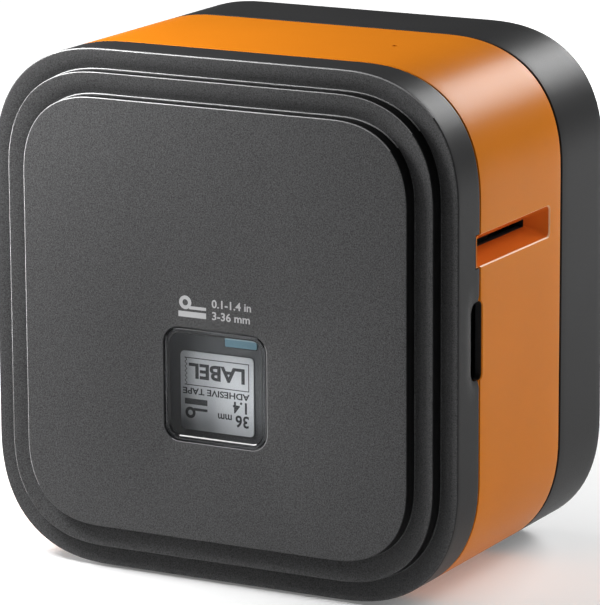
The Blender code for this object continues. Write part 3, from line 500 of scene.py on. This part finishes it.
def terrace_chain(rim_y, way, rises, dish, crease, edge):
    """Corners of the stepped end, from the rim to the plate, which lies way (+1 or -1) along Y.

    Each ring dips towards the next wall."""
    corners = []
    y, start = rim_y, 0.0
    for ring, rise in zip(TERRACES, rises):
        for along in (0.3, 0.55, 0.8):
            dip = dish * (0.5 * along + 0.5 * along ** 2)
            corners.append((start + (ring - start) * along, y - way * dip, 0))
        corners.append((ring - 0.05 * MM, y - way * dish, crease))
        y += way * rise
        corners.append((ring + 0.05 * MM, y, edge))
        start = ring
    corners.append((TERRACES[-1] + 1.4 * MM, y, 0))
    return corners


def inner_chain(rim_y, way, rises, dish):
    """The same steps on the inside, from the plate back to the side wall."""
    y = rim_y - way * WALL
    corners = [(WALL, y, 0.6 * MM)]
    for ring, rise in zip(TERRACES, rises):
        corners.append((ring, y - way * dish, 0))
        corners.append((ring + WALL, y - way * dish, 0))
        y += way * rise
        corners.append((ring + WALL + 0.1 * MM, y, 0))
    return corners[::-1]


def paint_by_place(piece, pick):
    """Sets each face's material slot from its centre and normal."""
    for face in piece.data.polygons:
        face.material_index = pick(face.center, face.normal)


def notch_outline(grow):
    """The finger notch in Y and Z, grown outwards by a margin."""
    width = NOTCH_Y[1] - NOTCH_Y[0] + 2 * grow
    height = NOTCH_Z[1] - NOTCH_Z[0] + 2 * grow
    centre = (sum(NOTCH_Y) / 2, sum(NOTCH_Z) / 2)
    return rounded(width, height, NOTCH_CORNER + grow, centre, corner_steps=8)


def notch_cutter(name):
    """Straight hole with a narrow flare at the surface, which makes its edge catch the light."""
    straight, flared = notch_outline(0), notch_outline(MOUTH_FLARE)
    return solid_along_x(name, [(SIDE_X - NOTCH_DEPTH, straight), (SIDE_X - 0.3 * MM, straight),
                                (SIDE_X + 0.1 * MM, flared), (SIDE_X + 2 * MM, flared)])


def scoop(piece):
    """Dishes the cover's side wall towards the finger notch, so that a fingertip finds it."""
    reach, depth = 4.0 * MM, 0.9 * MM
    for vertex in piece.data.vertices:
        at = vertex.co
        if at.x < SIDE_X - WALL * 0.8:
            continue
        along = (at.y - (NOTCH_Y[0] - reach)) / reach
        above = max(NOTCH_Z[0] - at.z, at.z - NOTCH_Z[1], 0.0) / (1.5 * MM)
        if along > 0 and above < 1:
            at.x -= depth * min(1.0, along) ** 2 * (1 - above) ** 2


def window_loops():
    """Outlines and depths of the window's hole, from the plate's face to its inner side."""
    centre = ((PANE_LOW.x + PANE_HIGH.x) / 2, (PANE_LOW.z + PANE_HIGH.z) / 2)
    side = PANE_HIGH.x - PANE_LOW.x + 0.6 * MM
    depths = ((0.25, 0.0), (0.08, 0.06), (0.0, 0.25), (0.0, 1.0), (0.0, 2.0))
    return [(rounded(side + 2 * out * MM, side + 2 * out * MM, (4.4 + out) * MM, centre,
                     corner_steps=12), PLATE_Y + down * MM) for out, down in depths]


def make_front_cover():
    bm = bmesh.new()
    rear = COVER_REAR_Y
    lip = 0.8 * MM
    outside = filleted([(lip, rear, 0), (0, rear, 0.2 * MM), (0, RIM_Y, 0.5 * MM)]
                       + terrace_chain(RIM_Y, -1, FRONT_RISES, FRONT_DISH, 0.45 * MM, 0.35 * MM))
    inside = filleted(inner_chain(RIM_Y, -1, FRONT_RISES, FRONT_DISH)
                      + [(WALL, rear - 2.4 * MM, 0), (lip, rear - 1.0 * MM, 0)])
    rings = body_rings(bm, inside + evenly(outside, 1.6 * MM))
    rings_between(bm, rings)
    loops = [ring_of(bm, outline, y) for outline, y in window_loops()]
    rings_between(bm, loops)
    fill_between(bm, rings[-1], [loops[0]])
    fill_between(bm, rings[0], [loops[-1]])
    cover = finished("front_cover_fine", bm, [COVER_FACE, COVER_SIDE, COVER_STEP_PAINTED_SHADE, MOAT_PAINTED_SHADE, INNER_PAINTED_SHADE,
                                              COVER_EDGE_PAINTED_HIGHLIGHT, LIP_PAINTED_HIGHLIGHT])
    scoop(cover)
    left = -SIDE_X
    relief = solid_along_z("hinge_relief", [
        (left - 4 * MM, rear - 0.6 * MM), (left + 1 * MM, rear - 0.45 * MM), (left + 10 * MM, rear),
        (left + 10 * MM, rear + 3 * MM), (left - 4 * MM, rear + 3 * MM)])
    gap = 0.35 * MM
    exit_gap = block("exit_gap", (SIDE_X - 9 * MM, EXIT_Y[0] - gap, EXIT_Z[0] - gap),
                     (SIDE_X + 3 * MM, rear + 2 * MM, EXIT_Z[1] + gap))
    shape_with(cover, "DIFFERENCE", relief, exit_gap, notch_cutter("cover_notch"))
    paint_cover(cover)
    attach(cover, "cover")
    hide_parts("front_cover")


def paint_cover(cover):
    """Face and sides, with painted shade on the steps, the window hole and the hollow side, and a painted
    highlight on the edges towards the upper left and on the window's lower right lip.
    """
    face, side, step, moat, hollow, edge, lip = range(7)
    window = window_loops()[0][0]
    low = Vector((min(p.x for p in window), min(p.y for p in window)))
    high = Vector((max(p.x for p in window), max(p.y for p in window)))

    def pick(at, normal):
        facing = -normal.y
        # The walls of the window's hole take near-black painted shade
        if low.x < at.x < high.x and low.y < at.z < high.y:
            # Its lower right lip takes a light grey painted highlight
            lower_right = (at.x - low.x) - (at.z - low.y) > 1.5 * MM
            return lip if lower_right and at.y < PLATE_Y + 0.15 * MM else moat
        # The hollow side of the cover takes near-black painted shade
        if facing < -0.3 or inside_of(at):
            return hollow
        out = outwards(at)
        # Convex edges facing the upper left take the painted highlight
        if 0.2 < facing < 0.97 and normal.dot(out) > 0.2 and out.dot(UPPER_LEFT) > 0.1:
            return edge
        if facing > 0.75:
            return face
        # Terrace walls and creases take the near-black painted shade
        return step if at.y < RIM_Y + FRONT_DISH and outline_inset(at) > 2 * MM else side

    paint_by_place(cover, pick)


def inside_of(at):
    """True on the hollow side of the cover's wall."""
    return at.y > RIM_Y + FRONT_DISH and outline_inset(at) > 0.6 * MM


def outwards(at):
    """Unit vector straight out from the body's outline, in X and Z."""
    across, up = at.x, at.z - CENTRE_Z
    du, dv = abs(across) - (WIDTH / 2 - CORNER), abs(up) - (HEIGHT / 2 - CORNER)
    if du > 0 and dv > 0:
        power = CORNER_POWER - 1
        return Vector((math.copysign(du ** power, across), 0, math.copysign(dv ** power, up))).normalized()
    if WIDTH / 2 - abs(across) < HEIGHT / 2 - abs(up):
        return Vector((math.copysign(1, across), 0, 0))
    return Vector((0, 0, math.copysign(1, up)))


def outline_inset(at):
    """Distance inside the body's outline, measured across the sides or out from a corner's centre."""
    across, up = abs(at.x), abs(at.z - CENTRE_Z)
    du, dv = across - (WIDTH / 2 - CORNER), up - (HEIGHT / 2 - CORNER)
    if du > 0 and dv > 0:
        return CORNER - (du ** CORNER_POWER + dv ** CORNER_POWER) ** (1 / CORNER_POWER)
    return min(WIDTH / 2 - across, HEIGHT / 2 - up)


def solid_along_z(name, outline):
    bm = bmesh.new()
    rings = [[bm.verts.new((x, y, z)) for x, y in outline]
             for z in (SHELL_LOW.z - 5 * MM, SHELL_HIGH.z + 5 * MM)]
    rings_between(bm, rings)
    bm.faces.new(rings[0])
    bm.faces.new(rings[-1])
    return finished(name, bm, [])


def exit_cutter():
    """Funnel from the recess's mouth down to the tape slot, flared at the surface."""
    throat = rounded(SLOT_Y[1] - SLOT_Y[0], SLOT_Z[1] - SLOT_Z[0], 0.25 * MM,
                     (sum(SLOT_Y) / 2, sum(SLOT_Z) / 2), corner_steps=6)
    front = EXIT_Y[0] + MOUTH_FLARE

    def mouth(grow):
        height = EXIT_Z[1] - EXIT_Z[0] + 2 * grow
        width = EXIT_Y[1] - front + grow
        return rounded(width, height, 1.3 * MM, (front + width / 2, sum(EXIT_Z) / 2), corner_steps=6)

    return solid_along_x("exit_funnel", [
        (SIDE_X - EXIT_DEPTH - 5 * MM, throat), (SIDE_X - EXIT_DEPTH, throat),
        (SIDE_X - 0.35 * MM, mouth(0)), (SIDE_X + 0.05 * MM, mouth(0.3 * MM)),
        (SIDE_X + 2 * MM, mouth(0.3 * MM))])


def in_the_slot(at):
    """True inside the tape slot, past the ramps."""
    return (SIDE_X - EXIT_DEPTH - 4 * MM < at.x < SIDE_X - EXIT_DEPTH - 0.05 * MM
            and SLOT_Y[0] - 1 * MM < at.y < SLOT_Y[1] + 1 * MM
            and SLOT_Z[0] - 1 * MM < at.z < SLOT_Z[1] + 1 * MM)


def in_the_exit(at):
    """True on the ramps of the exit's funnel and on the flare round its mouth."""
    return (SIDE_X - EXIT_DEPTH - 0.1 * MM < at.x < SIDE_X - 0.01 * MM
            and EXIT_Y[0] - MOUTH_FLARE < at.y < EXIT_Y[1] + MOUTH_FLARE
            and EXIT_Z[0] - MOUTH_FLARE < at.z < EXIT_Z[1] + MOUTH_FLARE)


def in_the_notch(at):
    """True on the walls of the finger notch, below the flare at its mouth."""
    return (SIDE_X - NOTCH_DEPTH < at.x < SIDE_X - MOUTH_FLARE and at.y < NOTCH_Y[1] + 0.1 * MM
            and NOTCH_Z[0] - 0.1 * MM < at.z < NOTCH_Z[1] + 0.1 * MM)


def foot_pockets(*feet):
    """Round pockets that take the feet, for cutting."""
    pockets = []
    for foot in feet:
        low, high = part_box(foot)
        middle = (low + high) / 2
        pockets.append(round_bar("foot_pocket", FOOT_POCKET, Vector((middle.x, middle.y, -1 * MM)),
                                 Vector((middle.x, middle.y, FOOT_POCKET_TOP)), 48))
    return pockets


def left_side_hole(name, node, corner, gap=0.3 * MM):
    """A hole with a fine lead-in for a part that sits in the band's left side."""
    low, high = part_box(node)
    width, height = high.y - low.y, high.z - low.z
    centre = ((low.y + high.y) / 2, (low.z + high.z) / 2)
    outline = rounded(width + 2 * gap, height + 2 * gap, corner, centre, corner_steps=10)
    wide = rounded(width + 3 * gap, height + 3 * gap, corner + gap / 2, centre, corner_steps=10)
    return solid_along_x(name, [(-SIDE_X - 2 * MM, wide), (-SIDE_X - 0.02 * MM, wide),
                                (-SIDE_X + 0.2 * MM, outline), (-SIDE_X + 5 * MM, outline)])


def light_hole():
    low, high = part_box("status_light_pipe")
    middle = (low + high) / 2
    return round_bar("light_hole", LIGHT_HOLE, Vector((middle.x, middle.y, BAND_HIGH.z - 4 * MM)),
                     Vector((middle.x, middle.y, BAND_HIGH.z + 4 * MM)))


def make_band():
    bm = bmesh.new()
    front, rear, rebate = BAND_FRONT_Y, BAND_HIGH.y, 0.4 * MM
    chain = filleted([(WALL, front + 1 * MM, 0), (WALL, front, 0.2 * MM), (rebate, front, 0.1 * MM),
                      (rebate, front + rebate, 0.1 * MM), (0, front + rebate, 0.15 * MM),
                      (0, rear, 0.3 * MM), (WALL, rear, 0.2 * MM), (WALL, rear - 1 * MM, 0)])
    rings = body_rings(bm, evenly(chain, 4 * MM))
    rings_between(bm, rings, closed=True)
    band = finished("band_fine", bm, [BAND_ORANGE, INNER_PAINTED_SHADE, BAND_RAMP_PAINTED_SHADE, BAND_FLARE_PAINTED_HIGHLIGHT])
    inner, wall = SIDE_X - 7 * MM, EXIT_BLOCK_WALL
    shape_with(band, "UNION",
               block("exit_block", (inner, front + 0.4 * MM, EXIT_Z[0] - wall),
                     (SIDE_X - 1 * MM, EXIT_Y[1] + 2 * MM, EXIT_Z[1] + wall), [BAND_ORANGE]),
               block("exit_tongue", (inner, EXIT_Y[0], EXIT_Z[0]), (SIDE_X, front + 3 * MM, EXIT_Z[1]),
                     [BAND_ORANGE]))
    shape_with(band, "DIFFERENCE", exit_cutter(), notch_cutter("band_notch"), light_hole(),
               left_side_hole("button_hole", "power_button", 4.3 * MM),
               left_side_hole("socket_hole", "charging_socket", 2.1 * MM),
               *foot_pockets("foot_1", "foot_2"))
    outside, dark, ramps, flare = range(4)

    def pick(at, normal):
        # Walls of the tape slot and the finger notch take near-black painted shade
        if in_the_slot(at) or in_the_notch(at):
            return dark
        # The exit's ramps take the deeper orange painted shade
        if in_the_exit(at):
            # The flare round the mouth takes the peach painted highlight
            return flare if at.x > SIDE_X - 0.4 * MM and abs(normal.x) < 0.99 else ramps
        return outside

    paint_by_place(band, pick)
    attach(band, "root")
    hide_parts("band_housing")


def make_rear_shell():
    bm = bmesh.new()
    front = SHELL_LOW.y
    groove, depth = 0.7 * MM, 0.6 * MM
    outside = filleted([(WALL, front, 0.1 * MM), (groove, front, 0.1 * MM),
                        (groove, front + depth, 0.1 * MM), (0, front + depth, 0.2 * MM),
                        (0, BACK_RIM_Y, 0.8 * MM)]
                       + terrace_chain(BACK_RIM_Y, 1, BACK_RISES, 0, 0.8 * MM, 0.35 * MM))
    inside = filleted(inner_chain(BACK_RIM_Y, 1, BACK_RISES, 0) + [(WALL, front + 1 * MM, 0)])
    rings = body_rings(bm, inside + evenly(outside, 4 * MM))
    rings_between(bm, rings)
    bm.faces.new(rings[0])
    bm.faces.new(rings[-1])
    shell = finished("rear_shell_fine", bm, [SHELL_SIDE, COVER_FACE])
    holes = []
    for i in range(1, 5):
        low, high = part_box(f"case_screw_{i}")
        middle = (low + high) / 2

        def on_axis(y):
            return Vector((middle.x, y, middle.z))

        shape_with(shell, "UNION",
                   round_bar("post", SCREW_POST, on_axis(22 * MM), on_axis(BACK_Y - 1 * MM)))
        holes.append(round_bar("bore", SCREW_BORE, on_axis(10 * MM), on_axis(60 * MM)))
        holes.append(round_bar("seat", SCREW_SEAT, on_axis(BACK_Y - 2.6 * MM), on_axis(60 * MM)))
    shape_with(shell, "DIFFERENCE", *holes, *foot_pockets("foot_3", "foot_4"))
    paint_by_place(shell, lambda at, normal: 1 if normal.y > 0.9 and at.y > BACK_RIM_Y - 1 * MM else 0)
    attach(shell, "root")
    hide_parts("rear_shell")


# ---------------------------------------------------------------- pane and print

def pane_inset(at, centre, side):
    """Distance inside the pane's outline, measured across its sides."""
    return side / 2 - max(abs(at.x - centre[0]), abs(at.z - centre[1]))


def make_pane():
    """Clear pane with a rounded edge and a shallow dish; a painted highlight on the edge and painted shade
    on the dish's rim show as two lines.
    """
    bm = bmesh.new()
    centre = ((PANE_LOW.x + PANE_HIGH.x) / 2, (PANE_LOW.z + PANE_HIGH.z) / 2)
    side = PANE_HIGH.x - PANE_LOW.x
    face, back = PANE_LOW.y, PANE_HIGH.y
    chain = filleted([(2.4 * MM, back, 0), (0, back, 0.15 * MM), (0, face, 0.35 * MM),
                      (0.8 * MM, face + 0.02 * MM, 0.25 * MM), (1.2 * MM, face + 0.35 * MM, 0.25 * MM),
                      (2.4 * MM, face + 0.35 * MM, 0)])
    rings = [ring_of(bm, rounded(side - 2 * inset, side - 2 * inset, 4.1 * MM - inset, centre,
                                 corner_steps=14), y) for inset, y in chain]
    rings_between(bm, rings)
    bm.faces.new(rings[0])
    bm.faces.new(rings[-1])
    pane = finished("window_pane_fine", bm, [PANE_CLEAR, PANE_EDGE_PAINTED_HIGHLIGHT, PANE_STEP_PAINTED_SHADE])
    clear, edge, step = range(3)

    def pick(at, normal):
        if abs(normal.y) > 0.96 or at.y > face + 0.4 * MM:
            return clear
        # The rounded edge takes a light grey painted highlight, the dish's rim a near-black painted shade
        return edge if pane_inset(at, centre, side) < 0.5 * MM else step

    paint_by_place(pane, pick)
    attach(pane, "cover")
    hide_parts("cover_window")


def flat_shape(name, outlines, y, thickness, material, body, slot):
    """Thin raised print: outlines in X and Z, extruded towards the front."""
    bm = bmesh.new()
    edges = []
    for outline in outlines:
        ring = [bm.verts.new((u, v, 0)) for u, v in outline]
        edges += [bm.edges.new((ring[i - 1], ring[i])) for i in range(len(ring))]
    bmesh.ops.triangle_fill(bm, use_beauty=True, edges=edges)
    made = bmesh.ops.extrude_face_region(bm, geom=bm.faces[:])
    moved = [v for v in made["geom"] if isinstance(v, bmesh.types.BMVert)]
    bmesh.ops.translate(bm, verts=moved, vec=(0, 0, thickness))
    stand = Matrix.Translation((0, y, 0)) @ Matrix.Rotation(math.pi / 2, 4, "X")
    bmesh.ops.transform(bm, verts=bm.verts, matrix=stand)
    piece = finished(name, bm, [material], 30)
    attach(piece, body)


def lettering(name, words, size, low, y, material, body, turn=0.0, squeeze=1.0, bold=0.05):
    """Generic words or numerals as thin raised print, with their lower left corner given."""
    curve = bpy.data.curves.new(name, "FONT")
    curve.body = words
    curve.size = size
    curve.resolution_u = 3
    curve.extrude = 0.02 * MM
    curve.offset = bold * MM
    text = bpy.data.objects.new(name + "_text", curve)
    SCENE.collection.objects.link(text)
    bpy.context.view_layer.update()
    mesh = bpy.data.meshes.new_from_object(text.evaluated_get(bpy.context.evaluated_depsgraph_get()))
    bpy.data.objects.remove(text)
    bm = bmesh.new()
    bm.from_mesh(mesh)
    bmesh.ops.remove_doubles(bm, verts=bm.verts, dist=1e-7)
    bpy.data.meshes.remove(mesh)
    stand = Matrix.Translation((low[0], y, low[1])) @ Matrix.Rotation(turn, 4, "Y")
    stand = stand @ Matrix.Rotation(math.pi / 2, 4, "X") @ Matrix.Diagonal((squeeze, 1, 1, 1))
    bmesh.ops.transform(bm, verts=bm.verts, matrix=stand)
    piece = finished(name, bm, [material], 30)
    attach(piece, body)


def ring_pair(outer, inner, centre, steps=28):
    """Two round outlines about one centre, which make a flat ring."""
    loops = []
    for radius in (outer, inner):
        loops.append([(centre[0] + radius * math.cos(2 * math.pi * i / steps),
                       centre[1] + radius * math.sin(2 * math.pi * i / steps)) for i in range(steps)])
    return loops


def strip(u0, v0, u1, v1):
    """A rectangle's outline from two opposite corners."""
    return [(u0, v0), (u1, v0), (u1, v1), (u0, v1)]


def make_plate_print():
    """Silver marks over the window: a tape roll with its strip, and the tape widths as numbers."""
    y = PLATE_Y - 0.005 * MM
    base = ((PANE_LOW.x + PANE_HIGH.x) / 2, PANE_HIGH.z + 3.35 * MM)
    left = base[0] - 10.3 * MM
    args = dict(y=y, thickness=PRINT_RISE, material=PRINT_SILVER, body="cover", slot="cover_grey")
    flat_shape("mark_roll", ring_pair(1.75 * MM, 0.8 * MM, (left + 2.0 * MM, base[1] + 3.6 * MM)), **args)
    flat_shape("mark_tape", [strip(left + 3.1 * MM, base[1] + 1.95 * MM,
                                   left + 8.0 * MM, base[1] + 2.75 * MM)], **args)
    flat_shape("mark_bar", [strip(left, base[1] - 0.15 * MM, left + 8.0 * MM, base[1] + 1.3 * MM)], **args)
    for name, words, size, up in (("mark_widths_upper", "0.1-1.4 in", 2.9, 3.0),
                                  ("mark_widths_lower", "3-36 mm", 2.9, -0.1)):
        lettering(name, words, size * MM, (left + 9.6 * MM, base[1] + up * MM), y, PRINT_SILVER, "cover",
                  squeeze=1.05)


def make_sight_glass():
    """Blue-tinted insert in the lid's slot, through which the tape roll shows, with a pale edge over it."""
    tape_low, tape_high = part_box("tape_roll")
    across, up = (tape_low.x + tape_high.x) / 2 + 2.5 * MM, (tape_low.z + tape_high.z) / 2 + 14.35 * MM
    length = 9.4 * MM
    glass = rounded(length, 2.2 * MM, 0.4 * MM, (across, up), corner_steps=5)
    edge = rounded(length, 0.35 * MM, 0.1 * MM, (across, up + 1.0 * MM), corner_steps=3)
    flat_shape("sight_glass", [glass], LID_LOW.y + 0.5 * MM, 0.4 * MM, SIGHT_BLUE, "root", "tape_blue")
    flat_shape("sight_edge", [edge], LID_LOW.y + 0.1 * MM, 0.1 * MM, SIGHT_PALE, "root", "tape_blue")


def make_label_print():
    """Black print on the cassette's label, upside down: a torn-edged box, two lines and numbers."""
    y = LABEL_LOW.y - PRINT_RISE
    left, right, top = LABEL_LOW.x, LABEL_HIGH.x, LABEL_HIGH.z
    args = dict(y=y, thickness=PRINT_RISE, material=PRINT_BLACK, body="root", slot="label_paper")
    box_left, box_right = left + 1.2 * MM, right - 1.3 * MM
    box_top, box_low = top - 1.6 * MM, top - 8.9 * MM
    line = 0.22 * MM
    for name, shape in (("label_box_top", strip(box_left, box_top - line, box_right, box_top)),
                        ("label_box_low", strip(box_left, box_low, box_right, box_low + line)),
                        ("label_box_side", strip(box_right - line, box_low, box_right, box_top))):
        flat_shape(name, [shape], **args)
    teeth = 6
    step = (box_top - box_low) / (2 * teeth)
    edge = [(box_left + (0.6 * MM if i % 2 else 0), box_low + i * step) for i in range(2 * teeth + 1)]
    flat_shape("label_box_torn", [edge + [(u + line, v) for u, v in reversed(edge)]], **args)
    flip = math.pi
    lettering("label_word", "LABEL", 5.4 * MM, (box_right - 1.0 * MM, box_top - 1.6 * MM), y, PRINT_BLACK,
              "root", flip, 1.12, 0.17)
    for name, words, size, inwards, down, squeeze, bold in (
            ("label_kind", "ADHESIVE TAPE", 2.3, 0.0, 0.7, 1.2, 0.05),
            ("label_inches", "1.4", 4.1, 0.0, 3.0, 0.95, 0.1),
            ("label_width", "36", 4.3, 0.0, 6.5, 0.95, 0.1),
            ("label_unit", "mm", 2.9, 5.0, 6.5, 0.95, 0.06)):
        lettering(name, words, size * MM, (box_right - inwards * MM, box_low - down * MM), y, PRINT_BLACK,
                  "root", flip, squeeze, bold)
    flat_shape("label_bar", [strip(box_left, box_low - 5.0 * MM, box_left + 6.6 * MM, box_low - 3.5 * MM)],
               **args)
    roll = (box_left + 1.6 * MM, box_low - 7.2 * MM)
    flat_shape("label_roll", ring_pair(1.5 * MM, 0.7 * MM, roll), **args)
    flat_shape("label_strip", [strip(box_left + 2.6 * MM, box_low - 6.6 * MM, box_left + 6.6 * MM,
                                     box_low - 5.9 * MM)], **args)


# ---------------------------------------------------------------- floor, light and camera

def make_floor():
    bm = bmesh.new()
    bmesh.ops.create_grid(bm, x_segments=2, y_segments=2, size=6.0)
    material = moulded("studio_floor", (0.88, 0.88, 0.88), 0.7, 300, 0.0, vary=0.01, specular=0.1)
    light_the_distance(material)
    finished("studio_floor", bm, [material])


def light_the_distance(material):
    """Makes the floor glow as painted light: strongly beyond the body, as a lit sweep looks, and faintly
    next to it, where it lifts the body's shadow.
    """
    tree = material.node_tree
    shader = tree.nodes["Principled BSDF"]
    place = tree.nodes.new("ShaderNodeTexCoord")
    away = tree.nodes.new("ShaderNodeVectorMath")
    away.operation = "DOT_PRODUCT"
    away.inputs[1].default_value = (-0.475, 0.880, 0.0)
    glow = tree.nodes.new("ShaderNodeMapRange")
    glow.interpolation_type = "SMOOTHSTEP"
    glow.inputs["From Min"].default_value = 0.16
    glow.inputs["From Max"].default_value = 0.50
    glow.inputs["To Min"].default_value = 0.16
    glow.inputs["To Max"].default_value = 0.75
    tree.links.new(place.outputs["Object"], away.inputs[0])
    tree.links.new(away.outputs["Value"], glow.inputs["Value"])
    tree.links.new(glow.outputs["Result"], shader.inputs["Emission Strength"])
    shader.inputs["Emission Color"].default_value = (1.0, 1.0, 1.0, 1.0)


def make_light(name, energy, size, direction, distance, aim=(0, 0, 0.07)):
    """A rectangular light at a distance from its aim, in the direction given."""
    data = bpy.data.lights.new(name, "AREA")
    data.energy = energy
    data.shape = "RECTANGLE"
    data.size, data.size_y = size
    light = bpy.data.objects.new(name, data)
    towards = Vector(direction).normalized()
    light.location = Vector(aim) + towards * distance
    light.rotation_mode = "QUATERNION"
    light.rotation_quaternion = towards.to_track_quat("Z", "Y")
    light.visible_camera = False
    SCENE.collection.objects.link(light)


def make_snoot():
    """A narrow beam that fills the window, so that the label behind the pane can be read."""
    data = bpy.data.lights.new("snoot", "SPOT")
    data.energy = 3.6
    data.spot_size = math.radians(3.3)
    data.spot_blend = 0.35
    data.shadow_soft_size = 0.012
    light = bpy.data.objects.new("snoot", data)
    towards = Vector((-0.18, -0.95, 0.25)).normalized()
    window = (PANE_LOW + PANE_HIGH) / 2
    light.location = Vector((window.x, LABEL_LOW.y, window.z)) + towards * 0.5
    light.rotation_mode = "QUATERNION"
    light.rotation_quaternion = towards.to_track_quat("Z", "Y")
    SCENE.collection.objects.link(light)


def make_studio():
    """Soft light from the left of the front, from above and from behind."""
    world = bpy.data.worlds.new("studio")
    SCENE.world = world
    world.use_nodes = True
    world.node_tree.nodes["Background"].inputs["Color"].default_value = (0.95, 0.97, 1.0, 1.0)
    world.node_tree.nodes["Background"].inputs["Strength"].default_value = 0.03
    make_light("key", 0.80, (0.10, 0.10), (-0.62, -0.55, 0.56), 0.16, (-0.05, PLATE_Y, 0.13))
    make_light("top_spot", 0.18, (0.12, 0.12), (-0.40, -0.15, 0.90), 0.20, (-0.03, PLATE_Y, 0.10))
    make_light("strip_left", 0.9, (0.10, 0.12), (-0.95, 0.10, -0.06), 0.30)
    make_light("strip_top", 0.6, (0.5, 0.25), (-0.44, -0.14, 0.88), 0.9)
    make_light("corner_back", 7.6, (0.46, 0.26), (0.22, 0.86, 0.46), 1.0)
    make_light("side_back", 3.2, (0.5, 0.6), (0.70, 0.45, 0.56), 0.9)
    make_snoot()
    SCENE.view_settings.view_transform = "Standard"
    SCENE.view_settings.look = "None"


def make_camera():
    """Long lens from the right of the front and a little above, aimed at the body's middle."""
    azimuth, pitch, roll = math.radians(28.3937), math.radians(12.956), math.radians(-0.2871)
    distance, shift_right, shift_up = 8.535 * WIDTH, 0.0304 * WIDTH, -0.0092 * WIDTH
    forward = Vector((-math.sin(azimuth) * math.cos(pitch), math.cos(azimuth) * math.cos(pitch),
                      -math.sin(pitch)))
    right = Vector((math.cos(azimuth), math.sin(azimuth), 0))
    up = right.cross(forward)
    aim = Vector((0, RIM_Y + 0.25 * WIDTH, CENTRE_Z))
    data = bpy.data.cameras.new("camera")
    data.lens = 261.25
    data.clip_start, data.clip_end = 0.05, 20
    camera = bpy.data.objects.new("camera", data)
    across = right * math.cos(roll) + up * math.sin(roll)
    above = -right * math.sin(roll) + up * math.cos(roll)
    turn = Matrix((across, above, -forward)).transposed().to_4x4()
    place = aim - forward * distance + right * shift_right + up * shift_up
    camera.matrix_world = Matrix.Translation(place) @ turn
    SCENE.collection.objects.link(camera)
    SCENE.camera = camera


make_camera()
make_studio()
make_floor()
dress_cad_nodes()
make_front_cover()
make_band()
make_rear_shell()
make_pane()
make_plate_print()
make_sight_glass()
make_label_print()
